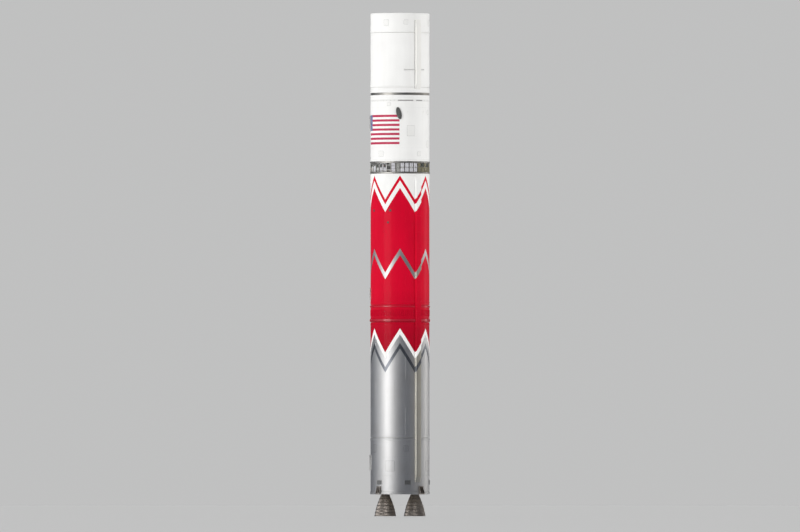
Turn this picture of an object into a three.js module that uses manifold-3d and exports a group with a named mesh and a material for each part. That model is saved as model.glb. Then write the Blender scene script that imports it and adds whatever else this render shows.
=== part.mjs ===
// Two-stage space rocket without its payload fairing.
// A model at half the real size: real metres go through m(), which gives model millimetres.
// +Z is up. The origin is on the rocket's axis in the aft plane, level with the feet of its hold-down fittings.
// -Y is the front, and +X is to the right as seen from the front.
import * as THREE from "three";
import { mergeVertices } from "three/addons/utils/BufferGeometryUtils.js";
import Module from "manifold-3d";

const wasm = await Module();
wasm.setup();

// ---------------------------------------------------------------- sizes
const MODEL_SCALE = 0.5; // model metres for each real metre
const m = (real) => real * 1000 * MODEL_SCALE;
const GAP = 0.5; // mm between pieces that rest on each other
const STAGE_GAP = 6; // mm between the two halves of the separation joint
const ROUND = 48; // sides of the large cylinders

const BODY_R = m(2.7); // outer radius of both stages
// Heights of the joints between the sections, above the aft plane
const Z_SKIRT_TOP = m(5.2);
const Z_LOWER_TANK_TOP = m(15.78);
const Z_INTERTANK_TOP = m(17.34);
const Z_UPPER_TANK_TOP = m(29.39);
const Z_FORWARD_RING_TOP = m(30.49);
const Z_SEPARATION = m(36.69);
const Z_STAGE_RING_TOP = m(37.29);
const Z_ADAPTER_BOTTOM = m(42.29);
const Z_TOP = m(44.1);

const SKIRT_WALL = m(0.1);
const SHELL_WALL = m(0.08);
const DOME_DEPTH = { boosterAft: m(1.3), boosterForward: m(1.9), stageAft: m(1.9), stageForward: m(1.3) };
const DOME_R = m(2.5); // where a dome leaves its tank's end

const HEAT_SHIELD = { r: m(2.44), thick: m(0.08), hole: m(0.7) };
const AFT_RING_IN = m(2.45);
const AFT_RING_H = m(0.2);

// One row for each kind of engine, in real metres from its gimbal's centre, with -z down.
const ENGINES = {
  booster: {
    offset: m(1.35), pivotZ: m(2.4), exitZ: m(-4.4), exitR: m(0.95), throatZ: m(-2.1), throatR: m(0.18),
    chamberR: m(0.27), chamberTopZ: m(-1.45), wall: m(0.035),
    block: { x: m(0.9), y: m(0.76), top: m(-0.36), bottom: m(-1.15) }, joint: 1,
  },
  upper: {
    offset: m(1.0), pivotZ: m(35.0), exitZ: m(-2.25), exitR: m(0.76), throatZ: m(-0.78), throatR: m(0.08),
    chamberR: m(0.14), chamberTopZ: m(-0.5), wall: m(0.024),
    block: { x: m(0.56), y: m(0.44), top: m(-0.17), bottom: m(-0.4) }, joint: 0.5,
  },
};
// The universal joint between an engine and its frame, in real metres at joint size 1
const GIMBAL = { half: m(0.12), earIn: m(0.16), earOut: m(0.26), earHalf: m(0.12), pinR: m(0.06), boreR: m(0.068), pinEnd: m(0.28) };
const BOOT = { outer: m(2.4), inner: m(2.35), rimDeg: 24.5 };

const RACEWAY = { width: m(0.6), height: m(0.2), slope: m(0.5) };
const RACEWAY_DEG = [37, 217]; // round the body from the front towards +X
const HOLD_DOWN_DEG = [45, 135, 225, 315];

// ---------------------------------------------------------------- materials
const paint = (color, roughness = 0.4, metalness = 0) => new THREE.MeshStandardMaterial({ color, roughness, metalness });
const MATERIAL = {
  white: paint(0xf2f2ee, 0.42),
  red: paint(0xc8102e, 0.3),
  silver: paint(0xb4b6b8, 0.3, 0.8),
  grey: paint(0x7b7d78, 0.55, 0.3),
  dark: paint(0x3c3f40, 0.6),
  metal: paint(0x8b8580, 0.4, 0.9),
  carbon: paint(0x232426, 0.7),
  blanket: paint(0xb9b2a0, 0.6),
  foam: paint(0xe4dcc6, 0.8),
  primer: paint(0x9a9c6e, 0.6),
};

// ---------------------------------------------------------------- solids
// A closed geometry as a solid: only positions kept, shared corners merged, faces turned outwards.
function solid(geometry, matrix) {
  const g = (geometry.index ? geometry.toNonIndexed() : geometry.clone());
  for (const name of Object.keys(g.attributes)) if (name !== "position") g.deleteAttribute(name);
  if (matrix) g.applyMatrix4(matrix);
  const merged = mergeVertices(g, 1e-3);
  const from = merged.index.array;
  const kept = [];
  for (let i = 0; i < from.length; i += 3) {
    const [a, b, c] = [from[i], from[i + 1], from[i + 2]];
    if (a !== b && b !== c && a !== c) kept.push(a, b, c);
  }
  const make = (tris) => new wasm.Manifold(new wasm.Mesh({ numProp: 3, vertProperties: merged.attributes.position.array, triVerts: new Uint32Array(tris) }));
  const made = make(kept);
  if (made.volume() > 0) return made;
  for (let i = 0; i < kept.length; i += 3) [kept[i + 1], kept[i + 2]] = [kept[i + 2], kept[i + 1]];
  return make(kept);
}

function geometryOf(made) {
  const mesh = made.getMesh();
  const p = new Float32Array(mesh.numVert * 3);
  for (let i = 0; i < mesh.numVert; i++) for (let k = 0; k < 3; k++) p[3 * i + k] = mesh.vertProperties[mesh.numProp * i + k];
  const g = new THREE.BufferGeometry();
  g.setAttribute("position", new THREE.BufferAttribute(p, 3));
  g.setIndex(new THREE.BufferAttribute(new Uint32Array(mesh.triVerts), 1));
  g.computeVertexNormals();
  return g;
}

const Z_UP = new THREE.Matrix4().makeRotationX(Math.PI / 2);
const at = (x, y, z) => new THREE.Matrix4().makeTranslation(x, y, z);
const round = (angle) => new THREE.Matrix4().makeRotationZ(THREE.MathUtils.degToRad(angle));

// A profile of [radius, height] points turned about the Z axis
const turned = (profile, sides = ROUND) => solid(new THREE.LatheGeometry(profile.map(([r, z]) => new THREE.Vector2(r, z)), sides), Z_UP);
const ring = (rIn, rOut, z0, z1, sides = ROUND) => turned([[rIn, z0], [rOut, z0], [rOut, z1], [rIn, z1], [rIn, z0]], sides);
const drum = (r, z0, z1, sides = ROUND) => turned([[0, z0], [r, z0], [r, z1], [0, z1]], sides);
const box = (x0, x1, y0, y1, z0, z1) => solid(new THREE.BoxGeometry(x1 - x0, y1 - y0, z1 - z0), at((x0 + x1) / 2, (y0 + y1) / 2, (z0 + z1) / 2));
// A pin along X (dir 0) or Y (dir 1) through the origin, from a to b
function pin(dir, r, a, b, sides = 16) {
  const g = new THREE.CylinderGeometry(r, r, b - a, sides);
  const turn = dir === 0 ? new THREE.Matrix4().makeRotationZ(-Math.PI / 2) : new THREE.Matrix4();
  const mid = (a + b) / 2;
  return solid(g, at(dir === 0 ? mid : 0, dir === 1 ? mid : 0, 0).multiply(turn));
}
const joined = (...list) => list.reduce((a, b) => a.add(b));

// Points of a quarter ellipse from the equator at radius r to the pole, depth deep along sign*z
function dome(r, zEquator, depth, sign, steps = 5) {
  const points = [];
  for (let i = 0; i <= steps; i++) {
    const a = (i / steps) * (Math.PI / 2);
    points.push([r * Math.cos(a), zEquator + sign * depth * Math.sin(a)]);
  }
  points[points.length - 1][0] = 0;
  return points;
}

// ---------------------------------------------------------------- scene
const rocket = new THREE.Group();
rocket.name = "space_rocket";
function place(name, made, material, parent, position = [0, 0, 0]) {
  const mesh = new THREE.Mesh(made.isBufferGeometry ? made : geometryOf(made), material);
  mesh.name = name;
  mesh.position.set(...position);
  parent.add(mesh);
  return mesh;
}

// ---------------------------------------------------------------- booster: stacked sections
const booster = new THREE.Group();
booster.name = "booster";
rocket.add(booster);

// A solid section of the body, with proud ring flanges given as [z0, z1, proud]
function section(z0, z1, { aft, forward, flanges = [] } = {}) {
  const profile = [];
  if (aft) profile.push(...dome(DOME_R, z0, aft, -1).reverse());
  else profile.push([0, z0]);
  profile.push([BODY_R, z0]);
  for (const [a, b, proud] of flanges) {
    const c = Math.min(proud * 0.7, (b - a) * 0.3);
    profile.push([BODY_R, a], [BODY_R + proud, a + c], [BODY_R + proud, b - c], [BODY_R, b]);
  }
  profile.push([BODY_R, z1]);
  if (forward) profile.push(...dome(DOME_R, z1, forward, 1));
  else profile.push([0, z1]);
  return turned(profile.filter((p, i) => i === 0 || Math.hypot(p[0] - profile[i - 1][0], p[1] - profile[i - 1][1]) > 1e-6));
}

// The flanges that stand proud of the body, so that raceways can be notched over them
const INTERTANK_FLANGES = [
  [Z_LOWER_TANK_TOP + m(0.02), Z_LOWER_TANK_TOP + m(0.32), m(0.07)],
  [Z_INTERTANK_TOP - m(0.22), Z_INTERTANK_TOP - m(0.04), m(0.045)],
];

place("aft_skirt", turned([
  [AFT_RING_IN, 0], [BODY_R, 0], [BODY_R, Z_SKIRT_TOP - GAP], [BODY_R - SKIRT_WALL, Z_SKIRT_TOP - GAP],
  [BODY_R - SKIRT_WALL, AFT_RING_H], [AFT_RING_IN, AFT_RING_H], [AFT_RING_IN, 0],
]), MATERIAL.silver, booster);
place("lower_propellant_tank", section(Z_SKIRT_TOP, Z_LOWER_TANK_TOP - GAP, { aft: DOME_DEPTH.boosterAft }), MATERIAL.red, booster);
place("intertank", section(Z_LOWER_TANK_TOP, Z_INTERTANK_TOP - GAP, { flanges: INTERTANK_FLANGES }), MATERIAL.red, booster);
place("upper_propellant_tank", section(Z_INTERTANK_TOP, Z_UPPER_TANK_TOP - GAP, { forward: DOME_DEPTH.boosterForward }), MATERIAL.red, booster);

// Bare ring at the top of the booster, and the hollow interstage that the upper stage's engines stand in
const FORWARD_RING_FLANGE = { h: m(0.12), proud: m(0.04) };
{
  const [r0, r1, z0, z1] = [BODY_R - SKIRT_WALL, BODY_R - m(0.02), Z_UPPER_TANK_TOP, Z_FORWARD_RING_TOP - GAP];
  const [h, rf] = [FORWARD_RING_FLANGE.h, BODY_R + FORWARD_RING_FLANGE.proud];
  place("booster_forward_ring", turned([
    [r0, z0], [rf, z0], [rf, z0 + h], [r1, z0 + h], [r1, z1 - h], [rf, z1 - h], [rf, z1], [r0, z1], [r0, z0],
  ]), MATERIAL.grey, booster);
}
{
  const [r0, z0, z1, lip] = [BODY_R - SHELL_WALL, Z_FORWARD_RING_TOP, Z_SEPARATION - STAGE_GAP / 2, m(0.14)];
  place("interstage", turned([
    [r0, z0], [BODY_R, z0], [BODY_R, z1], [BODY_R - lip, z1], [BODY_R - lip, z1 - m(0.12)], [r0, z1 - m(0.12)], [r0, z0],
  ]), MATERIAL.white, booster);
}

// ---------------------------------------------------------------- pieces on the outside
const bodyCut = (z0, z1, extra = GAP) => drum(BODY_R + extra, z0, z1);
const flangeCut = (flanges) => flanges.map(([a, b, proud]) => drum(BODY_R + proud + GAP, a - GAP, b + GAP));
// The angle is measured round the body from the front (-Y) towards +X
const facing = (angle) => round(angle - 90);

// A long cover of constant height with sloped ends, notched over the flanges that it crosses
function raceway(z0, z1, angle, cuts = []) {
  const [r0, r1] = [BODY_R - m(0.05), BODY_R + RACEWAY.height];
  const side = new THREE.Shape([[r0, z0], [r1, z0 + RACEWAY.slope], [r1, z1 - RACEWAY.slope], [r0, z1]].map(([r, z]) => new THREE.Vector2(r, z)));
  const g = new THREE.ExtrudeGeometry(side, { depth: RACEWAY.width, bevelEnabled: false });
  g.translate(0, 0, -RACEWAY.width / 2);
  const made = solid(g, facing(angle).multiply(Z_UP));
  return cuts.reduce((a, b) => a.subtract(b), made.subtract(bodyCut(z0 - m(1), z1 + m(1))));
}
// A flat-faced box on the skin, hollowed to the body's curve behind
function skinBox(width, proud, z0, z1, angle, cuts = []) {
  const made = box(BODY_R - m(0.12), BODY_R + proud, -width / 2, width / 2, z0, z1);
  const turnedTo = made.transform(facing(angle).toArray());
  return cuts.reduce((a, b) => a.subtract(b), turnedTo.subtract(bodyCut(z0 - m(1), z1 + m(1))));
}

RACEWAY_DEG.forEach((angle, i) => {
  const side = ["front", "rear"][i];
  place(`booster_raceway_${side}`, raceway(m(1.1), m(29.1), angle, flangeCut(INTERTANK_FLANGES)), MATERIAL.red, booster);
});

// Framed plates for the ground couplings, on the rocket's left side
const UMBILICALS = [
  // name, width, proud, z0, z1, angle
  ["umbilical_panel_aft", m(0.8), m(0.12), m(2.2), m(3.6), -90],
  ["umbilical_panel_booster", m(0.6), m(0.1), m(17.9), m(18.9), -90],
  ["umbilical_panel_interstage", m(0.62), m(0.1), m(33.3), m(34.7), -90],
];
for (const [name, width, proud, z0, z1, angle] of UMBILICALS) place(name, skinBox(width, proud, z0, z1, angle), MATERIAL.grey, booster);

// Oval vent port on the interstage
{
  const oval = new THREE.Shape().absellipse(0, 0, m(0.24), m(0.58), 0, Math.PI * 2, false, THREE.MathUtils.degToRad(14));
  const g = new THREE.ExtrudeGeometry(oval, { depth: m(0.16), bevelEnabled: false, curveSegments: 24 });
  g.translate(0, 0, -m(0.1));
  // the shape's x runs along the body's tangent, its y up, its depth outwards
  const place3 = facing(-2).multiply(at(BODY_R, 0, m(34.9))).multiply(new THREE.Matrix4().makeBasis(new THREE.Vector3(0, 1, 0), new THREE.Vector3(0, 0, 1), new THREE.Vector3(1, 0, 0)));
  place("interstage_vent_port", solid(g, place3).subtract(bodyCut(m(33), m(37))), MATERIAL.dark, booster);
}

// Hold-down fittings round the aft end, which carry the rocket's weight
HOLD_DOWN_DEG.forEach((angle, i) => {
  place(`hold_down_fitting_${i + 1}`, skinBox(m(0.5), m(0.26), 0, m(0.75), angle), MATERIAL.metal, booster);
});

// ---------------------------------------------------------------- aft bay
place("base_heat_shield", (() => {
  const { r, thick, hole } = HEAT_SHIELD;
  const x = ENGINES.booster.offset;
  const cut = (sign) => drum(hole, -m(0.1), thick + m(0.1), 48).translate([sign * x, 0, 0]);
  return drum(r, 0, thick, ROUND).subtract(cut(-1)).subtract(cut(1));
})(), MATERIAL.blanket, booster);

// Ears of a frame, at the two ends of a gimbal's X pins; up is where they meet the beam
function frameEars(scale, up) {
  const { earIn, earOut, earHalf, boreR } = GIMBAL;
  const ears = joined(...[-1, 1].map((s) => {
    const [a, b] = [s * earIn * scale, s * earOut * scale].sort((p, q) => p - q);
    return box(a, b, -earHalf * scale, earHalf * scale, -earHalf * scale, up);
  }));
  return ears.subtract(pin(0, boreR * scale, -earOut * scale - 5, earOut * scale + 5));
}

const FRAME = {
  booster: { z0: m(0.35), z1: m(0.95), halfWidth: m(0.3), reach: m(2.58) },
  upper: { z0: m(0.14), z1: m(0.75), halfWidth: m(0.16), reach: m(1.3) },
};
function engineFrame(kind) {
  const { offset, pivotZ, joint } = ENGINES[kind];
  const { z0, z1, halfWidth, reach } = FRAME[kind];
  let made = box(-reach, reach, -halfWidth, halfWidth, pivotZ + z0, pivotZ + z1);
  if (kind === "booster") {
    made = made.add(box(-halfWidth, halfWidth, -reach, reach, pivotZ + z0, pivotZ + z1));
    made = made.intersect(drum(BODY_R - SKIRT_WALL - GAP, pivotZ, pivotZ + m(2)));
  }
  for (const s of [-1, 1]) made = made.add(frameEars(joint, z0 + 1).translate([s * offset, 0, pivotZ]));
  return made;
}
place("thrust_frame", engineFrame("booster"), MATERIAL.metal, booster);

// ---------------------------------------------------------------- engines
// Points of a bell's inner wall, from the exit up to the throat
function bell({ exitZ, exitR, throatZ, throatR }, steps = 6) {
  const points = [];
  for (let i = 0; i <= steps; i++) {
    const t = 1 - i / steps;
    points.push([throatR + (exitR - throatR) * (1.55 * t - 0.55 * t * t), throatZ + (exitZ - throatZ) * t]);
  }
  return points;
}
function nozzle(e) {
  const capZ = e.block.bottom - GAP;
  const inner = bell(e);
  const outer = inner.map(([r, z]) => [r + e.wall, z]).reverse();
  const neck = e.throatR + e.wall;
  return turned([
    [0, e.chamberTopZ], [e.chamberR, e.chamberTopZ], [e.chamberR, e.throatZ + (e.chamberTopZ - e.throatZ) * 0.4],
    ...inner.slice().reverse(),
    ...outer.slice().reverse(),
    [e.chamberR + e.wall * 2, e.throatZ + (e.chamberTopZ - e.throatZ) * 0.4], [e.chamberR + e.wall * 2, capZ - e.wall], [neck, capZ], [0, capZ],
  ], 24);
}
function powerhead(e) {
  const { earIn, earOut, earHalf, boreR } = GIMBAL;
  const k = e.joint;
  const { x, y, top, bottom } = e.block;
  let made = box(-x / 2, x / 2, -y / 2, y / 2, bottom, top);
  for (const s of [-1, 1]) {
    const [a, b] = [s * earIn * k, s * earOut * k].sort((p, q) => p - q);
    made = made.add(box(-earHalf * k, earHalf * k, a, b, top - 1, earHalf * k));
  }
  return made.subtract(pin(1, boreR * k, -earOut * k - 5, earOut * k + 5));
}
function gimbalCross(k) {
  const { half, pinR, pinEnd } = GIMBAL;
  return joined(box(-half * k, half * k, -half * k, half * k, -half * k * 0.8, half * k * 0.8), pin(0, pinR * k, -pinEnd * k, pinEnd * k), pin(1, pinR * k, -pinEnd * k, pinEnd * k));
}
// A flexible boot: a zone of a sphere about the gimbal's centre, so that it sweeps past the heat shield's hole
function boot(e) {
  const { outer, inner, rimDeg } = BOOT;
  const holeR = m(0.37);
  const arc = (r, from, to, steps) => Array.from({ length: steps + 1 }, (_, i) => {
    const a = from + ((to - from) * i) / steps;
    return [r * Math.sin(a), -r * Math.cos(a)];
  });
  const rim = THREE.MathUtils.degToRad(rimDeg);
  const points = [...arc(outer, Math.asin(holeR / outer), rim, 4), ...arc(inner, rim, Math.asin(holeR / inner), 4)];
  return turned([...points, points[0]], 32);
}

function engine(kind, side, sign, parent) {
  const e = ENGINES[kind];
  const group = new THREE.Group();
  const label = kind === "booster" ? `${side}_booster` : `${side}_upper`;
  group.name = `${label}_engine`;
  group.position.set(sign * e.offset, 0, e.pivotZ);
  parent.add(group);
  place(`${label}_gimbal_cross`, gimbalCross(e.joint), MATERIAL.metal, group);
  place(`${label}_engine_powerhead`, powerhead(e), MATERIAL.metal, group);
  place(`${label}_engine_nozzle`, nozzle(e), kind === "booster" ? MATERIAL.metal : MATERIAL.carbon, group);
  if (kind === "booster") place(`${label}_engine_boot`, boot(e), MATERIAL.blanket, group);
}
engine("booster", "left", -1, booster);
engine("booster", "right", 1, booster);

// ---------------------------------------------------------------- upper stage
const upperStage = new THREE.Group();
upperStage.name = "upper_stage";
rocket.add(upperStage);

place("stage_separation_ring", turned([
  [BODY_R - m(0.14), Z_SEPARATION + STAGE_GAP / 2], [BODY_R, Z_SEPARATION + STAGE_GAP / 2], [BODY_R, Z_STAGE_RING_TOP - GAP],
  [BODY_R - SHELL_WALL, Z_STAGE_RING_TOP - GAP], [BODY_R - SHELL_WALL, Z_SEPARATION + STAGE_GAP / 2 + m(0.12)],
  [BODY_R - m(0.14), Z_SEPARATION + STAGE_GAP / 2 + m(0.12)], [BODY_R - m(0.14), Z_SEPARATION + STAGE_GAP / 2],
]), MATERIAL.white, upperStage);
place("upper_stage_tank", section(Z_STAGE_RING_TOP, Z_ADAPTER_BOTTOM - GAP, { aft: DOME_DEPTH.stageAft, forward: DOME_DEPTH.stageForward }), MATERIAL.white, upperStage);
place("forward_adapter", turned([
  [BODY_R - SHELL_WALL, Z_ADAPTER_BOTTOM], [BODY_R, Z_ADAPTER_BOTTOM], [BODY_R, Z_TOP], [m(2.42), Z_TOP], [m(2.42), Z_TOP - m(0.08)],
  [BODY_R - SHELL_WALL, Z_TOP - m(0.08)], [BODY_R - SHELL_WALL, Z_ADAPTER_BOTTOM],
]), MATERIAL.white, upperStage);

// Shelf inside the forward adapter with the boxes that it carries: angle, width, height
const SHELF = { rIn: m(1.98), rOut: BODY_R - SHELL_WALL - GAP, z: m(43.3), thick: m(0.05) };
const SHELF_BOXES = [
  // angle, width, height
  [20, m(0.7), m(0.34)], [75, m(0.5), m(0.4)], [118, m(0.85), m(0.3)], [165, m(0.5), m(0.44)],
  [210, m(0.7), m(0.34)], [258, m(0.9), m(0.28)], [312, m(0.55), m(0.42)],
];
place("equipment_shelf", joined(ring(SHELF.rIn, SHELF.rOut, SHELF.z, SHELF.z + SHELF.thick),
  ...SHELF_BOXES.map(([angle, width, height]) => box(m(2.02), m(2.38), -width / 2, width / 2, SHELF.z + m(0.02), SHELF.z + SHELF.thick + height).transform(facing(angle).toArray()))),
MATERIAL.primer, upperStage);

RACEWAY_DEG.forEach((angle, i) => {
  place(`upper_stage_raceway_${["front", "rear"][i]}`, raceway(m(37.1), m(43.5), angle), MATERIAL.white, upperStage);
});

place("upper_engine_frame", engineFrame("upper").subtract(
  section(Z_STAGE_RING_TOP - GAP, Z_ADAPTER_BOTTOM, { aft: DOME_DEPTH.stageAft })), MATERIAL.metal, upperStage);
engine("upper", "left", -1, upperStage);
engine("upper", "right", 1, upperStage);

export default rocket;
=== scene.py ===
"""Looks for the space rocket: detailed skins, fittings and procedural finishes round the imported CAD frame.

Sizes that are called real are metres of the full-size vehicle, and S makes them model metres.
Angles az are degrees round the body, from the front (-Y) towards +X.
"""
import math
import random

import bpy
from mathutils import Matrix, Vector


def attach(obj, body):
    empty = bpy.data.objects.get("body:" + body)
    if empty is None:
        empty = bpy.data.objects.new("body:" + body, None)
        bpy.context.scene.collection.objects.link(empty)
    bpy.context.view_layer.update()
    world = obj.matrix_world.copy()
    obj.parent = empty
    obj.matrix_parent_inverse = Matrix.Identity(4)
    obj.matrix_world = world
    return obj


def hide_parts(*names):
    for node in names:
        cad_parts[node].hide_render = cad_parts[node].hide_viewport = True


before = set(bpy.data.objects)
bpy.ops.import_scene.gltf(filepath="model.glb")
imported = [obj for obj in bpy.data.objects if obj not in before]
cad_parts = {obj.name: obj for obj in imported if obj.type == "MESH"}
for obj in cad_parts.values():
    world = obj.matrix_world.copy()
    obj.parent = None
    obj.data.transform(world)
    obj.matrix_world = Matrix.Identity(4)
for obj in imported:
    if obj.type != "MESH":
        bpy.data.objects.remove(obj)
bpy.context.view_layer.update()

S = 0.5
R = 2.7 * S
SEG = 192
STEP_DEG = 360.0 / SEG
FLOOR_Z = -1.06

scene = bpy.context.scene

# ------------------------------------------------------------------ camera
cam_data = bpy.data.cameras.new("camera")
cam = bpy.data.objects.new("camera", cam_data)
scene.collection.objects.link(cam)
cam_data.lens = 800
cam_data.clip_start, cam_data.clip_end = 5, 4000
cam.location = (0, -815, -0.35)
cam.rotation_euler = (Vector((0, 0, 10.47)) - cam.location).to_track_quat("-Z", "Y").to_euler()
scene.camera = cam

# ------------------------------------------------------------------ polygon soup
def on_body(az, r, z):
    a = math.radians(az)
    return (r * math.sin(a), -r * math.cos(a), z)


def az_of(p):
    return math.degrees(math.atan2(p[0], -p[1]))


class Soup:
    """Polygons with their own corner normals, welded when built. A zero normal is worked out by Blender."""

    def __init__(self):
        self.polys = []  # (points, normals, material index)

    def add(self, points, normals=None, mat=0):
        self.polys.append((points, normals or [(0.0, 0.0, 0.0)] * len(points), mat))

    def extend(self, other, matrix=None, mat=None):
        rot = matrix.to_3x3() if matrix is not None else None
        mirrored = rot is not None and rot.determinant() < 0
        for pts, nrm, m in other.polys:
            if rot is not None:
                pts = [tuple(matrix @ Vector(p)) for p in pts]
                nrm = [tuple(rot @ Vector(n)) if any(n) else n for n in nrm]
            if mirrored:
                pts, nrm = pts[::-1], nrm[::-1]
            self.polys.append((pts, nrm, m if mat is None else mat))

    def split(self, f):
        """Cuts every polygon along f(point) = 0."""
        out = []
        for pts, nrm, m in self.polys:
            v = [f(p) for p in pts]
            v = [0.0 if abs(x) < 1e-6 else x for x in v]
            if min(v) >= 0 or max(v) <= 0:
                out.append((pts, nrm, m))
                continue
            for keep in (1, -1):
                np_, nn = [], []
                for i in range(len(pts)):
                    j = (i + 1) % len(pts)
                    if v[i] * keep >= 0:
                        np_.append(pts[i]); nn.append(nrm[i])
                    if v[i] * v[j] < 0:
                        t = v[i] / (v[i] - v[j])
                        np_.append(tuple(a + (b - a) * t for a, b in zip(pts[i], pts[j])))
                        nn.append(tuple(a + (b - a) * t for a, b in zip(nrm[i], nrm[j])))
                if len(np_) > 2:
                    out.append((np_, nn, m))
        self.polys = out

    def drop(self, f):
        self.polys = [p for p in self.polys if not f(centre_of(p[0]))]

    def paint(self, f):
        self.polys = [(p, n, f(centre_of(p))) for p, n, _ in self.polys]

    def paint_some(self, f):
        self.polys = [(p, n, f(centre_of(p), m)) for p, n, m in self.polys]

    def build(self, name, materials, body, slot=None, replaces=(), sharp=35, shell=True):
        index, verts, faces, mats, normals = {}, [], [], [], []
        for pts, nrm, m in self.polys:
            ids, keep = [], []
            for p, n in zip(pts, nrm):
                k = (round(p[0] * 5e4), round(p[1] * 5e4), round(p[2] * 5e4))
                if k not in index:
                    index[k] = len(verts)
                    verts.append(p)
                i = index[k]
                if i not in ids:
                    ids.append(i)
                    keep.append(n)
            if len(ids) < 3:
                continue
            faces.append(ids)
            mats.append(m)
            normals.extend(keep)
        me = bpy.data.meshes.new(name)
        me.from_pydata(verts, [], faces)
        me.polygons.foreach_set("material_index", mats)
        me.polygons.foreach_set("use_smooth", [True] * len(faces))
        for m in materials:
            me.materials.append(m)
        me.update()
        me.set_sharp_from_angle(angle=math.radians(sharp))
        if any(any(n) for n in normals) and len(normals) == len(me.loops):
            me.normals_split_custom_set(normals)
        ob = bpy.data.objects.new(name, me)
        scene.collection.objects.link(ob)
        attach(ob, body)
        if replaces:
            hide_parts(*replaces)
        return ob


def centre_of(pts):
    n = len(pts)
    return tuple(sum(p[k] for p in pts) / n for k in range(3))


def profile_normals(profile, smooth=40):
    """For each segment of a profile, the normals (nr, nz) at its two ends. A soft corner is shared, and takes after a much longer segment."""
    seg, size = [], []
    for (r0, z0), (r1, z1) in zip(profile, profile[1:]):
        d = math.hypot(r1 - r0, z1 - z0) or 1e-9
        seg.append(((z1 - z0) / d, -(r1 - r0) / d))
        size.append(d)
    ends = [[n, n] for n in seg]
    for i in range(len(seg) - 1):
        a, b = seg[i], seg[i + 1]
        if a[0] * b[0] + a[1] * b[1] > math.cos(math.radians(smooth)):
            if size[i] > 3 * size[i + 1]:
                n = a
            elif size[i + 1] > 3 * size[i]:
                n = b
            else:
                s = (a[0] + b[0], a[1] + b[1])
                d = math.hypot(*s)
                n = (s[0] / d, s[1] / d)
            ends[i][1] = ends[i + 1][0] = n
    return ends


def turned(profile, seg=SEG, wobble=None, az0=-180.0, az1=180.0, smooth=40, centre=(0.0, 0.0)):
    """A profile of (r, z) turned about the vertical through centre. wobble(az, r, z) moves r."""
    soup = Soup()
    ends = profile_normals(profile, smooth)
    step = (az1 - az0) / seg
    cx, cy = centre

    def place(az, r, z):
        if wobble:
            r = wobble(az, r, z)
        x, y, z = on_body(az, r, z)
        return (x + cx, y + cy, z)

    for i, ((r0, z0), (r1, z1)) in enumerate(zip(profile, profile[1:])):
        if abs(r0 - r1) < 1e-9 and abs(z0 - z1) < 1e-9:
            continue
        n0, n1 = ends[i]
        for j in range(seg):
            a0, a1 = az0 + step * j, az0 + step * (j + 1)
            pts = [place(a0, r0, z0), place(a1, r0, z0), place(a1, r1, z1), place(a0, r1, z1)]
            if wobble:
                nrm = None
            else:
                nrm = []
                for a, n in ((a0, n0), (a1, n0), (a1, n1), (a0, n1)):
                    ra = math.radians(a)
                    nrm.append((n[0] * math.sin(ra), -n[0] * math.cos(ra), n[1]))
            soup.add(pts, nrm)
    return soup


def facing(az, r, z):
    """Matrix whose X runs round the body (to the viewer's right at az 0), Y up the body, and Z straight out of it."""
    a = math.radians(az)
    out = Vector((math.sin(a), -math.cos(a), 0))
    along = Vector((math.cos(a), math.sin(a), 0))
    m = Matrix((along, Vector((0, 0, 1)), out)).transposed().to_4x4()
    m.translation = out * r + Vector((0, 0, z))
    return m


def block(x0, x1, y0, y1, z0, z1, bevel=0.0):
    """A box with bevelled edges on its +Z face and upright corners."""
    s = Soup()
    b = min(bevel, (x1 - x0) * 0.45, (y1 - y0) * 0.45, (z1 - z0) * 0.9)

    def loop(i, z):
        a0, a1, c0, c1 = x0 + i, x1 - i, y0 + i, y1 - i
        c = min(b * 0.6, (a1 - a0) * 0.4, (c1 - c0) * 0.4)
        if not b:
            return [(a0, c0, z), (a1, c0, z), (a1, c1, z), (a0, c1, z)]
        return [(a0 + c, c0, z), (a1 - c, c0, z), (a1, c0 + c, z), (a1, c1 - c, z), (a1 - c, c1, z), (a0 + c, c1, z), (a0, c1 - c, z), (a0, c0 + c, z)]

    loops = [loop(0, z0), loop(0, z1 - b)] + ([loop(b * 0.3, z1 - b * 0.3), loop(b, z1)] if b else [])
    for lo, hi in zip(loops, loops[1:]):
        n = len(lo)
        for i in range(n):
            s.add([lo[i], lo[(i + 1) % n], hi[(i + 1) % n], hi[i]])
    s.add(loops[-1])
    s.add(list(reversed(loops[0])))
    return s


def rim(w, h, t, z0, z1, bevel=0.002, corner=None, n=5):
    """A frame of one bar round a rectangle w by h, with rounded corners."""
    s = Soup()
    corner = corner or t * 1.15
    prof = [(0, z0), (0, z1 - bevel), (bevel * 0.3, z1 - bevel * 0.3), (bevel, z1), (t - bevel, z1), (t - bevel * 0.3, z1 - bevel * 0.3), (t, z1 - bevel), (t, z0)]

    def loop(u, z):
        out = []
        for sx, sy, a0 in ((1, 1, 0), (-1, 1, 90), (-1, -1, 180), (1, -1, 270)):
            for i in range(n + 1):
                a = math.radians(a0 + 90 * i / n)
                out.append((sx * (w / 2 - corner) + (corner - u) * math.cos(a), sy * (h / 2 - corner) + (corner - u) * math.sin(a), z))
        return out

    loops = [loop(u, z) for u, z in prof]
    for a, b in zip(loops, loops[1:] + loops[:1]):
        for i in range(len(a)):
            j = (i + 1) % len(a)
            s.add([a[i], a[j], b[j], b[i]])
    return s


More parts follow.
